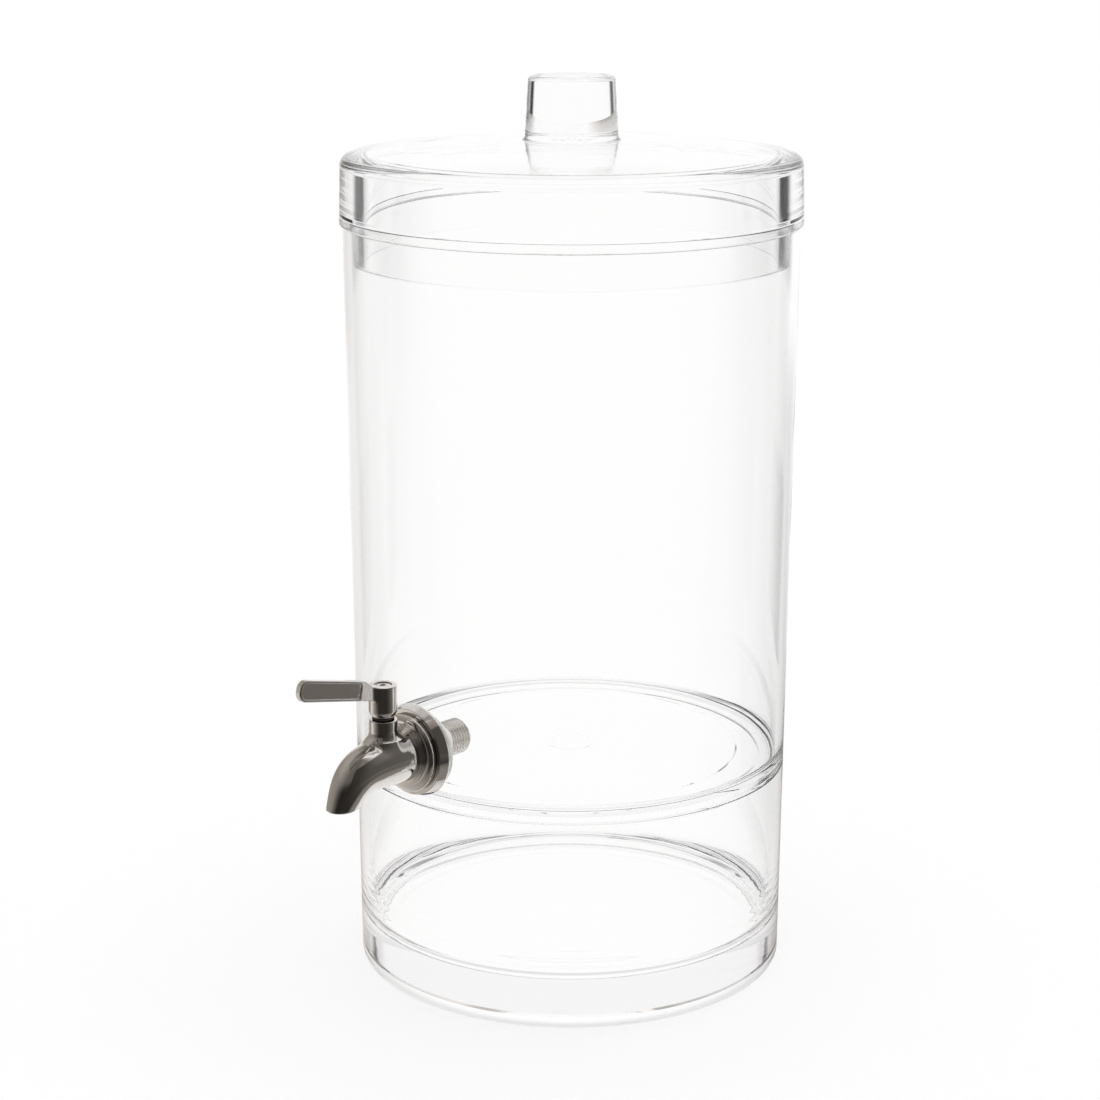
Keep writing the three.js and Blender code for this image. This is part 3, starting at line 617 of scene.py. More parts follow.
def container_outline():
    """Container with a locating ring under its floor and a rebate round its rim for the lid."""
    rim = container_high.z
    ring_bottom = container_low.z
    shoulder = ring_bottom + RING_DEPTH
    ring_outer = base_inside(base_high.z) - RING_CLEARANCE
    ring_inner = ring_outer - RING_WIDTH
    underside = shoulder + UNDERSIDE_RISE
    floor_top = underside + FLOOR_THICKNESS
    rebate = rim - REBATE_HEIGHT
    outer_rim = body_radius(rebate) - REBATE_DEPTH
    fillet_top = floor_top + FLOOR_FILLET
    recess = underside + FLOOR_RECESS_DEPTH
    return [
        (0, recess + GATE_DEPTH),
        (GATE_RADIUS, recess + GATE_DEPTH),
        (GATE_RADIUS, recess),
        (FLOOR_RECESS_RADIUS, recess),
        (FLOOR_RECESS_RADIUS + FLOOR_RECESS_DEPTH, underside),
        (ring_inner, underside),
        (ring_inner, ring_bottom),
        (ring_outer, ring_bottom),
        (ring_outer, shoulder),
        (body_radius(shoulder), shoulder),
        (body_radius(rebate), rebate),
        (outer_rim, rebate),
        *arc(outer_rim - RIM_EDGE, rim - RIM_EDGE, RIM_EDGE, 0, 90),
        *arc(container_inside(rim) + RIM_EDGE, rim - RIM_EDGE, RIM_EDGE, 90, 180),
        *arc(container_inside(fillet_top) - FLOOR_FILLET, fillet_top, FLOOR_FILLET, 0, -90),
        (0, floor_top),
    ]


def lid_outline():
    """Domed lid with its plug ring, its lapping skirt and the knob's locating pip."""
    lid_radius = lid_high.x
    dome_top = knob_low.z - SEAT_GAP
    corner_top = dome_top - LID_CORNER_DROP
    top_radius = lid_radius - LID_TAPER - LID_CORNER
    pad = KNOB_FOOT_RADIUS + KNOB_FLARE + PAD_MARGIN
    run = top_radius - pad
    slope = math.degrees(math.atan(2 * LID_CORNER_DROP / run))
    plug_inner = PLUG_RADIUS - PLUG_WALL
    fillet = plug_inner - LID_FILLET

    def dome(radius):
        """Height of the lid's upper face."""
        return corner_top + LID_CORNER_DROP * (1 - ((radius - pad) / run) ** 2)

    dome_radii = [top_radius - run * i / DOME_STEPS for i in range(1, DOME_STEPS)]
    under_radii = [pad + (fillet - pad) * i / DOME_STEPS for i in range(DOME_STEPS)]
    rim = container_high.z
    rebate = rim - REBATE_HEIGHT
    outer_rim = body_radius(rebate) - REBATE_DEPTH
    skirt_inner = outer_rim + SKIRT_CLEARANCE
    skirt_bottom = rebate + SEAT_GAP
    plug_bottom = lid_low.z
    return [
        (0, dome_top - LID_PLATE),
        *((radius, dome(radius) - LID_PLATE) for radius in under_radii),
        *arc(fillet, dome(fillet) - LID_PLATE - LID_FILLET, LID_FILLET, 90, 0),
        *arc(plug_inner + PLUG_EDGE, plug_bottom + PLUG_EDGE, PLUG_EDGE, 180, 270),
        *arc(PLUG_RADIUS - PLUG_EDGE, plug_bottom + PLUG_EDGE, PLUG_EDGE, 270, 360),
        (PLUG_RADIUS, rim + SEAT_GAP),
        (skirt_inner, rim + SEAT_GAP),
        (skirt_inner, skirt_bottom),
        *arc(lid_radius - SKIRT_EDGE, skirt_bottom + SKIRT_EDGE, SKIRT_EDGE, -90, 0),
        *arc(top_radius, corner_top - LID_CORNER, LID_CORNER, 0, 90 - slope, 2 * ARC_STEPS),
        *((radius, dome(radius)) for radius in dome_radii),
        (pad, dome_top),
        (PIP_RADIUS, dome_top),
        (0, dome_top + PIP_HEIGHT),
    ]


def knob_outline():
    """Solid knob, hollowed a little underneath round the pip's socket."""
    base, top = knob_low.z, knob_high.z
    return [
        (0, base + SOCKET_HEIGHT),
        (SOCKET_RADIUS, base + DIMPLE_DEPTH),
        (DIMPLE_RADIUS, base + DIMPLE_DEPTH),
        (DIMPLE_RADIUS + DIMPLE_DEPTH, base),
        *arc(KNOB_FOOT_RADIUS + KNOB_FLARE, base + KNOB_FLARE_HEIGHT, KNOB_FLARE, 270, 180, ARC_STEPS,
             KNOB_FLARE_HEIGHT / KNOB_FLARE),
        *arc(KNOB_TOP_RADIUS - KNOB_TOP_EDGE, top - KNOB_TOP_EDGE, KNOB_TOP_EDGE, 0, 90),
        (0, top),
    ]


def turned(name, outline, steps, place, body, finish, *nodes):
    """A turned piece in place."""
    new_object(name, lathe(name, outline, steps, place), body, finish, *nodes)


turned("clear_base", base_outline(), CLEAR_STEPS, BODY_AXIS, "base", CLEAR, "base_chamber")
turned("clear_container", container_outline(), CLEAR_STEPS, BODY_AXIS, "container", CLEAR, "container")
turned("clear_lid", lid_outline(), CLEAR_STEPS, BODY_AXIS, "lid", CLEAR, "lid")
turned("clear_knob", knob_outline(), CLEAR_STEPS, BODY_AXIS, "lid", CLEAR, "lid_knob")


# Tap casting

horn_start = FLANGE_FRONT - BARREL_INSET
horn_end = TOWER_REACH + SPOUT_OVERHANG
horn_run = horn_end - horn_start
HORN_LINE = np.array([
    (horn_start, 0),
    (horn_start + horn_run * BEND_START_SHARE, 0),
    (horn_end - horn_run * BEND_END_SHARE, 0),
    (horn_end, -SPOUT_DROP),
])


def horn_line(t):
    """Points, slopes and bends of the spout's middle line, as reach and height."""
    s = 1 - t
    places = np.stack([s ** 3, 3 * s * s * t, 3 * s * t * t, t ** 3], 1) @ HORN_LINE
    slopes = 3 * np.stack([s * s, 2 * s * t, t * t], 1) @ np.diff(HORN_LINE, axis=0)
    bends = 6 * np.stack([s, t], 1) @ np.diff(HORN_LINE, 2, axis=0)
    return places, slopes, bends


line_t = np.linspace(0, 1, LINE_STEPS + 1)
line_points = horn_line(line_t)[0]
line_length = np.concatenate([[0], np.cumsum(np.linalg.norm(np.diff(line_points, axis=0), axis=1))])


def along_horn(reach, height):
    """Share of the spout's length where a point lies, and its distance from the line in the tap's plane."""
    reach, height = np.broadcast_arrays(reach, height)
    points = np.stack([reach.ravel(), height.ravel()], 1)
    apart = np.hypot(*(points[:, None, i] - line_points[None, :, i] for i in range(2)))
    t = line_t[apart.argmin(1)]
    for _ in range(HORN_ROUNDS):
        places, slopes, bends = horn_line(t)
        away = points - places
        rate = (slopes ** 2).sum(1) - (away * bends).sum(1)
        step = (away * slopes).sum(1) / np.maximum(rate, LEAST_RATE)
        t = np.clip(t + np.clip(step, -1 / LINE_STEPS, 1 / LINE_STEPS), 0, 1)
    off = np.linalg.norm(points - horn_line(t)[0], axis=1)
    share = np.interp(t, line_t, line_length / line_length[-1])
    return share.reshape(reach.shape), off.reshape(reach.shape)


def casting(x, y, z):
    """Field of the spout and tower."""
    reach = AXIS_Y - y
    height = z - TAP_HEIGHT
    share, off = along_horn(reach, height)
    start, bend, end = HORN_RADII
    radius = start * (1 - share) ** 2 + 2 * bend * share * (1 - share) + end * share ** 2
    from_line = np.hypot(x, off)
    spout = np.maximum(from_line - radius, horn_start - reach)
    up = np.clip((TOWER_ROOT + TOWER_FLARE_HEIGHT - height) / TOWER_FLARE_HEIGHT, 0, 1)
    waist = TOWER_RADIUS + TOWER_FLARE * (1 - np.sqrt(1 - FLARE_LIMIT * up * up))
    tower = round_max(np.hypot(x, y - TOWER_Y) - waist, z - TOWER_TOP, TOWER_EDGE)
    tower = np.maximum(tower, -height)
    whole = blend_min(spout, tower, TOWER_BLEND)
    whole = round_max(whole, -MOUTH_DROP - height, MOUTH_EDGE)
    bore = np.maximum(from_line - FLOW_BORE, height - BORE_TOP)
    return blend_max(whole, -bore, MOUTH_EDGE)


new_object("tap_spout_and_tower", skin("tap_spout_and_tower", casting, tap_low, tap_high, CASTING_CELL),
           "container", POLISHED, "tap_body")
turned("tap_flange", soften([
    (0, FLANGE_BACK),
    (FLANGE_RADIUS, FLANGE_BACK),
    *arc(FLANGE_RADIUS - FLANGE_DOME_WIDTH, FLANGE_FRONT - FLANGE_DOME_HEIGHT, FLANGE_DOME_WIDTH, 0, 90,
         ARC_STEPS, FLANGE_DOME_HEIGHT / FLANGE_DOME_WIDTH),
    (OUTER_NECK, FLANGE_FRONT),
    (OUTER_NECK, FLANGE_FRONT + NECK_STEP),
    (INNER_NECK, FLANGE_FRONT + NECK_STEP),
    (INNER_NECK, FLANGE_FRONT + 2 * NECK_STEP),
    (0, FLANGE_FRONT + 2 * NECK_STEP),
]), FITTING_STEPS, TAP_AXIS, "container", POLISHED, "tap_body")


# Fittings at the wall

collar_back, collar_front = reaches("tap_collar")
collar_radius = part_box("tap_collar")[1].x
turned("steel_collar", soften([
    (SHANK_HOLE, collar_back),
    (collar_radius, collar_back),
    (collar_radius, collar_back + COLLAR_EDGE),
    (COLLAR_FACE, collar_front),
    (SHANK_HOLE, collar_front),
    (SHANK_HOLE, collar_back),
]), FITTING_STEPS, TAP_AXIS, "container", POLISHED, "tap_collar")

washer_back, washer_front = reaches("inner_washer")
washer_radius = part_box("inner_washer")[1].x
turned("steel_washer", soften([
    (SHANK_HOLE, washer_back),
    (washer_radius, washer_back),
    (washer_radius, washer_front),
    (SHANK_HOLE, washer_front),
    (SHANK_HOLE, washer_back),
]), FITTING_STEPS, TAP_AXIS, "container", TURNED, "inner_washer")


def around_tap(radius, reach, angle):
    """A point at a radius and angle about the tap's level axis."""
    return radius * np.sin(angle), AXIS_Y - reach, TAP_HEIGHT + radius * np.cos(angle)


def rings_round_tap(rings, angles):
    """Rings of points from pairs of radius and reach."""
    return [np.stack(np.broadcast_arrays(*around_tap(*ring, angles)), 1) for ring in rings]


def hexagon(flats, angle):
    """Distance from a hexagon's middle to its edge."""
    side = 2 * math.pi / HEX_SIDES
    return flats / 2 / np.cos((angle % side) - side / 2)


def ring_angles(steps):
    """Angles of a ring of points."""
    return np.arange(steps) * 2 * math.pi / steps


def nut():
    """Hexagonal nut with its corners turned off at both faces."""
    angles = ring_angles(HEX_SIDES * NUT_SIDE_STEPS)
    back, front = reaches("lock_nut")
    flats = 2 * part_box("lock_nut")[1].z - 2 * TAP_HEIGHT
    corner = flats / math.sqrt(3)
    flat_edge = np.full_like(angles, corner - NUT_CHAMFER - FINE_EDGE)
    hex_edge = hexagon(flats, angles)
    cone = []
    for i in range(EDGE_STEPS + 1):
        rise = i / EDGE_STEPS
        cone.append((np.minimum(flat_edge + (NUT_CHAMFER + FINE_EDGE) * rise, hex_edge), NUT_CHAMFER * rise))
    rings = [
        (np.full_like(angles, SHANK_HOLE), back),
        *((radius, back + rise) for radius, rise in cone),
        *((radius, front - rise) for radius, rise in reversed(cone)),
        (np.full_like(angles, SHANK_HOLE), front),
    ]
    return loft("hex_nut", rings_round_tap(rings, angles), True)


def shank():
    """Threaded tube with one continuous thread."""
    angles = ring_angles(SHANK_STEPS)
    back, front = reaches("tap_shank")
    radius = shank_high.x
    rows = np.arange(back, front, THREAD_PITCH / THREAD_ROWS)
    rings = []
    for reach in [*rows, front]:
        turn = ((reach - back) / THREAD_PITCH - angles / (2 * math.pi)) % 1
        ridge = np.clip(THREAD_CREST + 1 - 2 * np.abs(2 * turn - 1), 0, 1)
        thread = radius - THREAD_DEPTH * (1 - ridge)
        room = radius - SHANK_CHAMFER + min(reach - back, front - reach)
        rings.append((np.minimum(thread, room), reach))
    rings.append((np.full_like(angles, SHANK_BORE), front))
    rings.append((np.full_like(angles, SHANK_BORE), back))
    return loft("threaded_shank", rings_round_tap(rings, angles), True)


def wall_reach(x, z, offset):
    """Reach of the wall's surface, moved outward by an offset, beside the tap's axis."""
    return np.sqrt((body_radius(z) + offset) ** 2 - x * x)


def soft_ring(name, outer, flat, offset):
    """A soft washer: flat against the steel, following the wall's curve on its other side."""
    angles = ring_angles(FITTING_STEPS)
    before_edge = outer - SOFT_EDGE / 4
    stations = [
        (SHANK_HOLE, 0),
        (outer - SOFT_EDGE, 0),
        (before_edge, SOFT_ROUND_SHARE),
        (outer, 0.5),
        (before_edge, 1 - SOFT_ROUND_SHARE),
        (outer - SOFT_EDGE, 1),
        (SHANK_HOLE, 1),
    ]
    if offset < 0:
        stations.reverse()
    rings = []
    for radius, share in stations:
        x, _, z = around_tap(radius, 0, angles)
        reach = flat + share * (wall_reach(x, z, offset) - flat)
        rings.append(np.stack([x, AXIS_Y - reach, z], 1))
    return loft(name, rings, True)


new_object("hex_nut", nut(), "container", NYLON, "lock_nut")
new_object("threaded_shank", shank(), "container", TURNED, "tap_shank")
outer_flat = reaches("outer_gasket")[1]
outer_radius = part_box("outer_gasket")[1].x
outer_ring = soft_ring("soft_outer_washer", outer_radius, outer_flat, SEAT_GAP)
new_object("soft_outer_washer", outer_ring, "container", SILICONE, "outer_gasket")
inner_flat = reaches("inner_gasket")[0]
inner_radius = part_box("inner_gasket")[1].x
inner_ring = soft_ring("soft_inner_washer", inner_radius, inner_flat, -CONTAINER_WALL - SEAT_GAP)
new_object("soft_inner_washer", inner_ring, "container", SILICONE, "inner_gasket")


# Lever

def blade_top(along):
    """Height of the blade's upper edge above its lower edge."""
    rise = np.clip((along - NECK_END) / (SHOULDER_END - NECK_END), 0, 1)
    heel = NECK_HEIGHT + (HEEL_HEIGHT - NECK_HEIGHT) * rise * rise * (3 - 2 * rise)
    out = np.clip((along - SHOULDER_END) / (BLADE_REACH - SHOULDER_END), 0, 1)
    return heel + (TIP_HEIGHT - HEEL_HEIGHT) * out


def lever(x, y, z):
    """Field of the lever: boss, neck and blade with a sunken panel on each side and a ribbed tip."""
    reach = TOWER_Y - y
    height = z - BOSS_FOOT - BLADE_ROOT
    along = reach * math.cos(BLADE_RISE) + height * math.sin(BLADE_RISE)
    up = height * math.cos(BLADE_RISE) - reach * math.sin(BLADE_RISE)
    side = np.abs(x)
    ribs = RIB_DEPTH * np.cos(2 * math.pi * up / RIB_PITCH) ** 2
    tip = along - BLADE_REACH + ribs
    top = up - blade_top(along)
    outline = np.maximum(round_max(-up, tip, TIP_ROUND), round_max(top, tip, TIP_ROUND))
    outline = np.maximum(outline, BLADE_START - along)
    blade = round_max(outline, side - BLADE_THICKNESS / 2, BLADE_EDGE)
    inner_tip = along - BLADE_REACH + PANEL_MARGIN
    inner_low, inner_top = PANEL_MARGIN - up, top + PANEL_MARGIN
    heel = PANEL_START - along
    panel = np.maximum(round_max(inner_low, inner_tip, PANEL_TIP_ROUND),
                       round_max(inner_top, inner_tip, PANEL_TIP_ROUND))
    panel = np.maximum(panel, np.maximum(round_max(inner_low, heel, PANEL_HEEL_ROUND),
                                         round_max(inner_top, heel, PANEL_HEEL_ROUND)))
    sunk = blend_max(panel, BLADE_THICKNESS / 2 - PANEL_DEPTH - side, PANEL_EDGE)
    blade = blend_max(blade, -sunk, PANEL_EDGE)
    rise = np.clip((z - BOSS_FOOT) / BOSS_FOOT_HEIGHT, 0, 1)
    waist = BOSS_FOOT_RADIUS + (BOSS_RADIUS - BOSS_FOOT_RADIUS) * np.sin(rise * math.pi / 2)
    from_axis = np.hypot(x, y - TOWER_Y)
    boss = round_max(from_axis - waist, z - BOSS_TOP, BOSS_EDGE)
    boss = round_max(boss, BOSS_FOOT - z, FINE_EDGE)
    whole = blend_min(boss, blade, BOSS_BLEND)
    recess = np.maximum(from_axis - SCREW_RECESS_RADIUS, BOSS_TOP - SCREW_RECESS_DEPTH - z)
    return blend_max(whole, -recess, FINE_EDGE)


new_object("steel_lever", skin("steel_lever", lever, lever_low, lever_high, LEVER_CELL), "lever", POLISHED,
           "lever")


def socket_screw():
    """Screw with a hexagonal socket."""
    angles = ring_angles(HEX_SIDES * SOCKET_SIDE_STEPS)
    low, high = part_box("lever_screw")
    head, edge = high.x, FINE_EDGE
    under = BOSS_TOP - SCREW_RECESS_DEPTH + SEAT_GAP
    hole = hexagon(SOCKET_FLATS, angles)
    plain = np.ones_like(angles)
    shaft = head * SCREW_SHAFT_SHARE
    inset = edge * SCREW_ROUND_SHARE
    rings = [
        (plain * shaft, low.z),
        (plain * shaft, under),
        (plain * head, under),
        (plain * head, high.z - edge),
        (plain * (head - inset), high.z - inset),
        (plain * (head - edge), high.z),
        (hole + edge, high.z),
        (hole, high.z - edge),
        (hole, high.z - SOCKET_DEPTH),
    ]
    points = [np.stack([r * np.sin(angles), TOWER_Y + r * -np.cos(angles), plain * h], 1) for r, h in rings]
    return loft("socket_screw", points, False)


new_object("socket_screw", socket_screw(), "lever", TURNED, "lever_screw")
spindle_washer_low, spindle_washer_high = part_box("spindle_washer")
turned("dark_washer", soften([
    (TOWER_RADIUS / 2, spindle_washer_low.z),
    (spindle_washer_high.x, spindle_washer_low.z),
    (spindle_washer_high.x, spindle_washer_high.z),
    (TOWER_RADIUS / 2, spindle_washer_high.z),
    (TOWER_RADIUS / 2, spindle_washer_low.z),
]), FITTING_STEPS, TOWER_AXIS, "lever", RUBBER, "spindle_washer")

# Inner pieces that keep their CAD solids
for (_, material), names in (
    (TURNED, ("valve", "spindle", "gland")),
    (RUBBER, ("shank_seal", "spindle_ring_upper", "spindle_ring_lower")),
    (NYLON, ("valve_seat_inlet", "valve_seat_outlet")),
):
    for name in names:
        slots = frame["nodes"][name].data.materials
        slots.clear()
        slots.append(material)


# Studio

CAMERA_AZIMUTH = math.radians(42)
CAMERA_DISTANCE = 1.1229
CAMERA_HEIGHT = 0.4947
CAMERA_PITCH = 0.261196
CAMERA_SIDE = 0.00962
LENS = 81.7463
SENSOR_WIDTH = 36
MOST_BOUNCES = 32
MIRROR_BOUNCES = 24
FLOOR_HALF = 30.0
FLOOR_DROP = 0.0002
FLOOR_COLOUR = (0.93, 0.93, 0.93, 1)
FLOOR_LIFT = 0.08


def camera():
    """The photograph's view."""
    across = Vector((math.cos(CAMERA_AZIMUTH), math.sin(CAMERA_AZIMUTH), 0))
    back = Vector((math.sin(CAMERA_AZIMUTH), -math.cos(CAMERA_AZIMUTH), 0))
    data = bpy.data.cameras.new("camera")
    data.sensor_width = SENSOR_WIDTH
    data.lens = LENS
    view = bpy.data.objects.new("camera", data)
    bpy.context.scene.collection.objects.link(view)
    view.location = back * CAMERA_DISTANCE - across * CAMERA_SIDE + Vector((0, AXIS_Y, CAMERA_HEIGHT))
    view.rotation_euler = (math.pi / 2 - CAMERA_PITCH, 0, CAMERA_AZIMUTH)
    bpy.context.scene.camera = view


# The studio that gloss and refraction see. Each list gives brightness by degrees from the camera's forward
# direction. Clear pieces see white ahead, dark bands at the sides and a pale room behind the camera. Steel
# sees white ahead, dim sides, a light above and a dark room behind the camera.
CLEAR_SIDES = [
    (-180, 0.8), (-95, 0.8), (-84, 0.15), (-70, 0.2), (-57, 1), (55, 1), (66, 0.2), (84, 0.05), (95, 0.8),
    (180, 0.8),
]
CLEAR_UPPER = [
    (-180, 0.85), (-100, 0.85), (-84, 0.4), (-75, 0.5), (-62, 1), (62, 1), (74, 0.4), (90, 0.3), (102, 0.85),
    (180, 0.85),
]
CLEAR_TABLE = [
    (-180, 0.8), (-98, 0.8), (-85, 0.25), (-65, 0.5), (-50, 1), (50, 1), (65, 0.45), (85, 0.12), (98, 0.8),
    (180, 0.8),
]
STEEL_SIDES = [
    (-180, 0.03), (-150, 0.02), (-138, 0.05), (-118, 0.16), (-100, 0.29), (-80, 0.33), (-60, 0.35),
    (-38, 0.32), (-28, 0.4), (-20, 0.7), (-13, 1), (40, 1), (52, 0.2), (68, 0.13), (90, 0.14), (112, 0.11),
    (130, 0.08), (150, 0.045), (180, 0.025),
]
STEEL_CEILING = [
    (-180, 0.13), (-150, 0.15), (-120, 0.26), (-85, 0.4), (-60, 0.45), (-42, 0.45), (-28, 0.42), (-14, 0.14),
    (4, 0.2), (11, 1), (30, 1), (38, 0.2), (60, 0.2), (90, 0.25), (110, 0.16), (130, 0.08), (150, 0.05),
    (180, 0.045),
]
STEEL_TOP = [
    (-180, 0.14), (-120, 0.21), (-60, 0.27), (-30, 0.16), (-10, 0.08), (20, 0.1), (38, 0.5), (50, 1),
    (102, 1), (114, 0.5), (130, 0.22), (150, 0.23), (180, 0.14),
]
STEEL_TABLE = [
    (-180, 0.035), (-150, 0.03), (-138, 0.07), (-122, 0.24), (-107, 0.5), (-100, 0.85), (-84, 0.85),
    (-76, 0.36), (-60, 0.36), (-42, 0.36), (-28, 0.7), (-18, 1), (20, 1), (36, 0.18), (60, 0.16), (80, 0.16),
    (100, 0.18), (125, 0.14), (145, 0.06), (165, 0.03), (180, 0.035),
]
STEEL_NEAR = [
    (-180, 0.28), (-150, 0.26), (-120, 0.52), (-98, 0.78), (-82, 0.75), (-68, 0.55), (-50, 0.45), (-30, 0.42),
    (-12, 0.6), (10, 0.62), (22, 1), (34, 0.95), (44, 0.35), (70, 0.32), (90, 0.42), (110, 0.4), (130, 0.27),
    (180, 0.28),
]

# Degrees above the horizon where one list fades into the next, and metres from the middle on the table
CLEAR_RISE = (7, 13)
CEILING_RISE = (16, 36)
TOP_RISE = (55, 61)
TABLE_NEAR = (0.17, 0.34)
TABLE_FAR = (1.2, 1.9)
# Painted contact shadow: a grey ring on the table round the base, seen only through clear material
FOOT_SHADE_INNER = (0.09, 0.096)
FOOT_SHADE_OUTER = (0.101, 0.112)
FOOT_SHADOW_TONE = (0.78, 0.78, 0.78, 1)
WARMTH = (1, 0.93, 0.86)
NO_WARMTH = (1, 1, 1)
WHITE = (1, 1, 1, 1)

# A ray with more crossings of a clear surface than this is inside or past a second wall
ONE_WALL_CROSSINGS = 2.5

# Dark cards, seen only through clear material; pairs of tones are for the left and the right card
CARD_BACK = 0.352
CARD_REACH = 0.8
CARD_HEIGHT = 0.36
CARD_INNER = (0.315, 0.4)
CARD_OUTER = (0.47, 0.64)
CARD_LOW_END = (0.11, 0.14)
CARD_HIGH_START = (0.235, 0.262)
CARD_TOP = (0.335, 0.355)
CARD_HIGH_TONES = (0.12, 0.0)
CARD_LOW_TONES = (0.6, 0.25)
CARD_MIDDLE_TONE = 0.78


def tones(tree, turn, stops, warmth=WARMTH):
    """Brightness by angle from the camera's forward direction; dim tones may be warmer."""
    ramp = node(tree, "ValToRGB", {"Fac": turn})
    marks = ramp.color_ramp.elements
    marks.remove(marks[1])
    for i, (angle, value) in enumerate(stops):
        mark = marks[0] if i == 0 else marks.new(0.5 + angle / 360)
        mark.position = 0.5 + angle / 360
        mark.color = (*(value if value == 1 else value * warm for warm in warmth), 1)
    return ramp.outputs["Color"]


def turn_of(tree, vector):
    """Direction about the upright axis, from 0 to 1, with a half straight ahead of the camera."""
    inputs = {"Vector": vector, "Angle": -CAMERA_AZIMUTH}
    turned_back = node(tree, "VectorRotate", inputs, rotation_type="Z_AXIS")
    parts = node(tree, "SeparateXYZ", {0: turned_back.outputs[0]}).outputs
    angle = calc(tree, "ARCTAN2", parts["X"], parts["Y"])
    return calc(tree, "ADD", calc(tree, "DIVIDE", angle, 2 * math.pi), 0.5)


def blend_tone(tree, share, first, second):
    """A colour between two sockets or fixed colours."""
    inputs = {"Factor": share, "A": first, "B": second}
    return node(tree, "Mix", inputs, data_type="RGBA").outputs["Result"]


def mirrored(tree):
    """1 for rays that come by gloss or through clear material."""
    path = node(tree, "LightPath").outputs
    return calc(tree, "MAXIMUM", path["Is Glossy Ray"], path["Is Transmission Ray"])


def straight(tree):
    """1 for rays that have reached a second clear wall and met no mirror on the way."""
    path = node(tree, "LightPath").outputs
    walls = calc(tree, "GREATER_THAN", path["Transmission Depth"], ONE_WALL_CROSSINGS)
    return calc(tree, "MULTIPLY", walls, calc(tree, "LESS_THAN", path["Glossy Depth"], 0.5))


def by_ray(tree, turn, steel_stops, clear_stops):
    """Tones for steel and for what clear material lets through."""
    through = node(tree, "LightPath").outputs["Is Transmission Ray"]
    steel_tones = tones(tree, turn, steel_stops)
    return blend_tone(tree, through, steel_tones, tones(tree, turn, clear_stops, NO_WARMTH))


def cards():
    """Two dark cards behind the dispenser, left and right of the white wall."""
    mesh = bpy.data.meshes.new("cards")
    corners = []
    for side in (-1, 1):
        inner, outer = side * CARD_INNER[0], side * CARD_REACH
        corners += [(inner, 0, 0), (outer, 0, 0), (outer, 0, CARD_HEIGHT), (inner, 0, CARD_HEIGHT)]
    mesh.from_pydata(corners, [], [(0, 1, 2, 3), (4, 5, 6, 7)])
    piece = bpy.data.objects.new("cards", mesh)
    bpy.context.scene.collection.objects.link(piece)
    ahead = Vector((-math.sin(CAMERA_AZIMUTH), math.cos(CAMERA_AZIMUTH), 0))
    piece.location = ahead * CARD_BACK + Vector((0, AXIS_Y, 0))
    piece.rotation_euler.z = CAMERA_AZIMUTH
    piece.visible_camera = piece.visible_diffuse = piece.visible_glossy = piece.visible_shadow = False
    material, tree = blank("dark cards")
    place = node(tree, "SeparateXYZ", {0: node(tree, "TexCoord").outputs["Object"]}).outputs
    aside = calc(tree, "ABSOLUTE", place["X"])
    right = calc(tree, "GREATER_THAN", place["X"])
    high = fit(tree, right, 0, 1, *CARD_HIGH_TONES, smooth=False)
    low = fit(tree, right, 0, 1, *CARD_LOW_TONES, smooth=False)
    low_end = fit(tree, place["Z"], *CARD_LOW_END, 0, 1)
    high_start = fit(tree, place["Z"], *CARD_HIGH_START, 0, 1)
    lower = node(tree, "Mix", {"Factor": low_end, "A": low, "B": CARD_MIDDLE_TONE}).outputs["Result"]
    level = node(tree, "Mix", {"Factor": high_start, "A": lower, "B": high}).outputs["Result"]
    share = calc(tree, "MULTIPLY", fit(tree, aside, *CARD_INNER, 0, 1), fit(tree, aside, *CARD_OUTER, 1, 0))
    share = calc(tree, "MULTIPLY", share, fit(tree, place["Z"], *CARD_TOP, 1, 0))
    share = calc(tree, "MULTIPLY", share, calc(tree, "SUBTRACT", 1, straight(tree)))
    glow = node(tree, "Emission", {"Strength": level})
    mix = node(tree, "MixShader", {0: share, 1: node(tree, "BsdfTransparent").outputs[0], 2: glow.outputs[0]})
    node(tree, "OutputMaterial", {"Surface": mix.outputs[0]})
    mesh.materials.append(material)


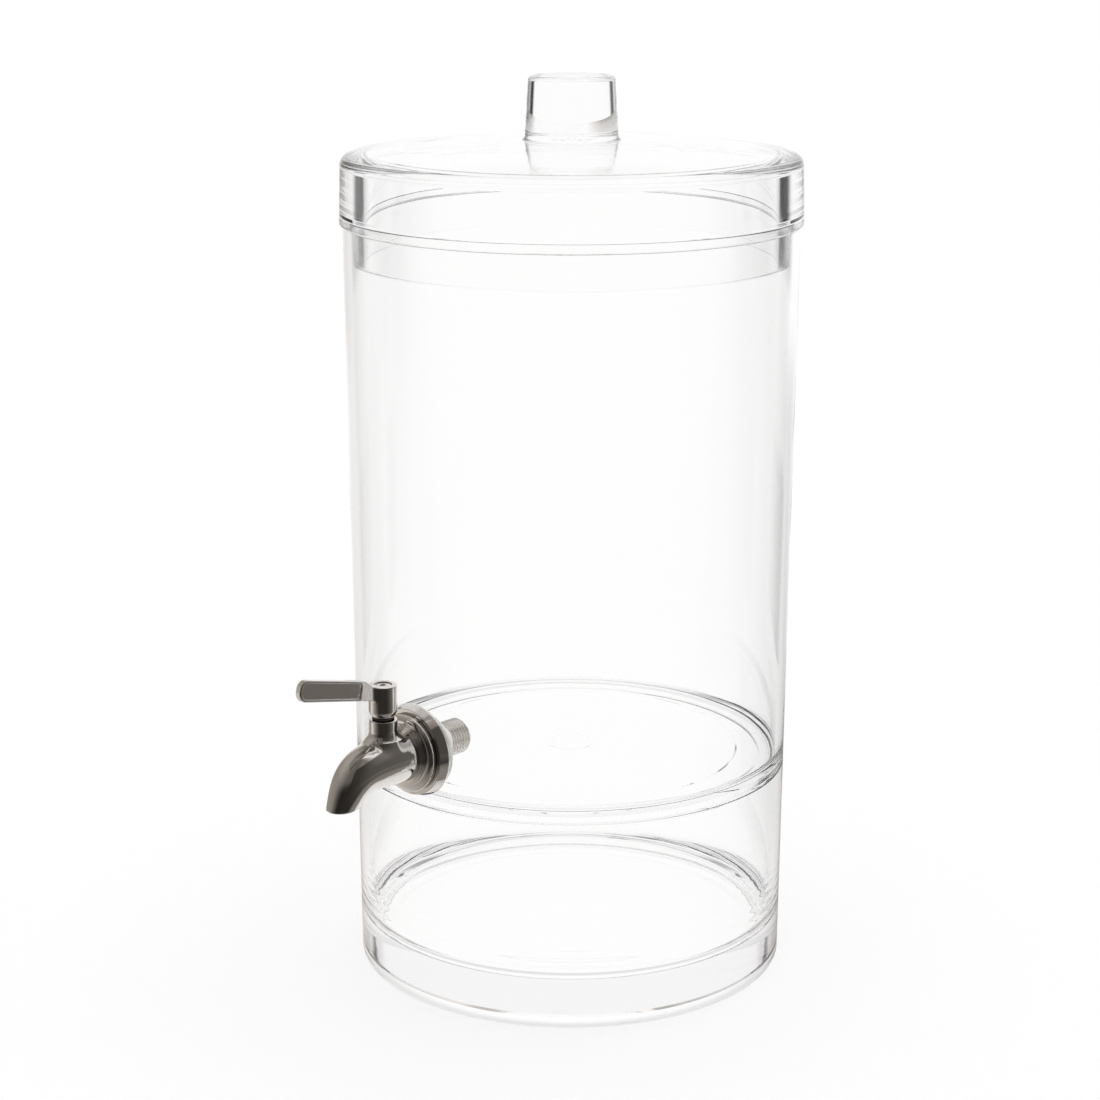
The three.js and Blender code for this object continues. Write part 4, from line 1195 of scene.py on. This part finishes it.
def floor():
    """A plain pale table that keeps the shadow; in gloss it fades into the room round it, and through clear
    material it shows a painted shadow ring round the base where it stands.
    """
    mesh = bpy.data.meshes.new("floor")
    half = FLOOR_HALF
    corners = [(-half, -half, 0), (half, -half, 0), (half, half, 0), (-half, half, 0)]
    mesh.from_pydata(corners, [], [(0, 1, 2, 3)])
    piece = bpy.data.objects.new("floor", mesh)
    bpy.context.scene.collection.objects.link(piece)
    piece.location.z = -FLOOR_DROP
    material, tree = blank("pale floor")
    place = node(tree, "TexCoord").outputs["Object"]
    moved = node(tree, "VectorMath", {0: place, 1: (0, AXIS_Y, 0)}, operation="SUBTRACT").outputs[0]
    away = node(tree, "VectorMath", {0: moved}, operation="LENGTH").outputs["Value"]
    turn = turn_of(tree, moved)
    # Painted contact shadow: a grey ring round the base, which only rays through clear material see
    foot_shadow_start = fit(tree, away, *FOOT_SHADE_INNER, 0, 1)
    ring = calc(tree, "MULTIPLY", foot_shadow_start, fit(tree, away, *FOOT_SHADE_OUTER, 1, 0))
    painted_foot_shadow = blend_tone(tree, ring, WHITE, FOOT_SHADOW_TONE)
    through = node(tree, "LightPath").outputs["Is Transmission Ray"]
    near = blend_tone(tree, through, tones(tree, turn, STEEL_NEAR), painted_foot_shadow)
    middle = by_ray(tree, turn, STEEL_TABLE, CLEAR_TABLE)
    seen = blend_tone(tree, fit(tree, away, *TABLE_NEAR, 0, 1), near, middle)
    far = by_ray(tree, turn, STEEL_SIDES, CLEAR_SIDES)
    seen = blend_tone(tree, fit(tree, away, *TABLE_FAR, 0, 1), seen, far)
    seen = blend_tone(tree, straight(tree), seen, WHITE)
    lit = node(tree, "BsdfDiffuse", {"Color": FLOOR_COLOUR})
    camera_ray = node(tree, "LightPath").outputs["Is Camera Ray"]
    lift = node(tree, "Emission", {"Strength": calc(tree, "MULTIPLY", camera_ray, FLOOR_LIFT)})
    plain = node(tree, "AddShader", {0: lit.outputs[0], 1: lift.outputs[0]})
    glow = node(tree, "Emission", {"Color": seen})
    mix = node(tree, "MixShader", {0: mirrored(tree), 1: plain.outputs[0], 2: glow.outputs[0]})
    node(tree, "OutputMaterial", {"Surface": mix.outputs[0]})
    mesh.materials.append(material)


def world():
    """White all round for the camera and for plain light, and the studio for gloss and refraction."""
    studio = bpy.data.worlds.new("studio")
    bpy.context.scene.world = studio
    studio.use_nodes = True
    tree = studio.node_tree
    tree.nodes.clear()
    ray = node(tree, "TexCoord").outputs["Generated"]
    turn = turn_of(tree, ray)
    height = node(tree, "SeparateXYZ", {0: ray}).outputs["Z"]
    rise = calc(tree, "DIVIDE", calc(tree, "ARCSINE", height), math.radians(1))
    through = node(tree, "LightPath").outputs["Is Transmission Ray"]
    steel_up = blend_tone(tree, fit(tree, rise, *CEILING_RISE, 0, 1), tones(tree, turn, STEEL_SIDES),
                          tones(tree, turn, STEEL_CEILING))
    steel_up = blend_tone(tree, fit(tree, rise, *TOP_RISE, 0, 1), steel_up, tones(tree, turn, STEEL_TOP))
    clear_up = blend_tone(tree, fit(tree, rise, *CLEAR_RISE, 0, 1), tones(tree, turn, CLEAR_SIDES, NO_WARMTH),
                          tones(tree, turn, CLEAR_UPPER, NO_WARMTH))
    room = blend_tone(tree, through, steel_up, clear_up)
    room = blend_tone(tree, straight(tree), room, WHITE)
    colour = blend_tone(tree, mirrored(tree), WHITE, room)
    back = node(tree, "Background", {"Color": colour, "Strength": 1.0})
    node(tree, "OutputWorld", {"Surface": back.outputs[0]})


cards()
camera()
floor()
world()
scene = bpy.context.scene
scene.view_settings.view_transform = "Standard"
scene.cycles.max_bounces = MOST_BOUNCES
scene.cycles.transmission_bounces = MOST_BOUNCES
scene.cycles.glossy_bounces = MIRROR_BOUNCES
scene.cycles.transparent_max_bounces = MOST_BOUNCES
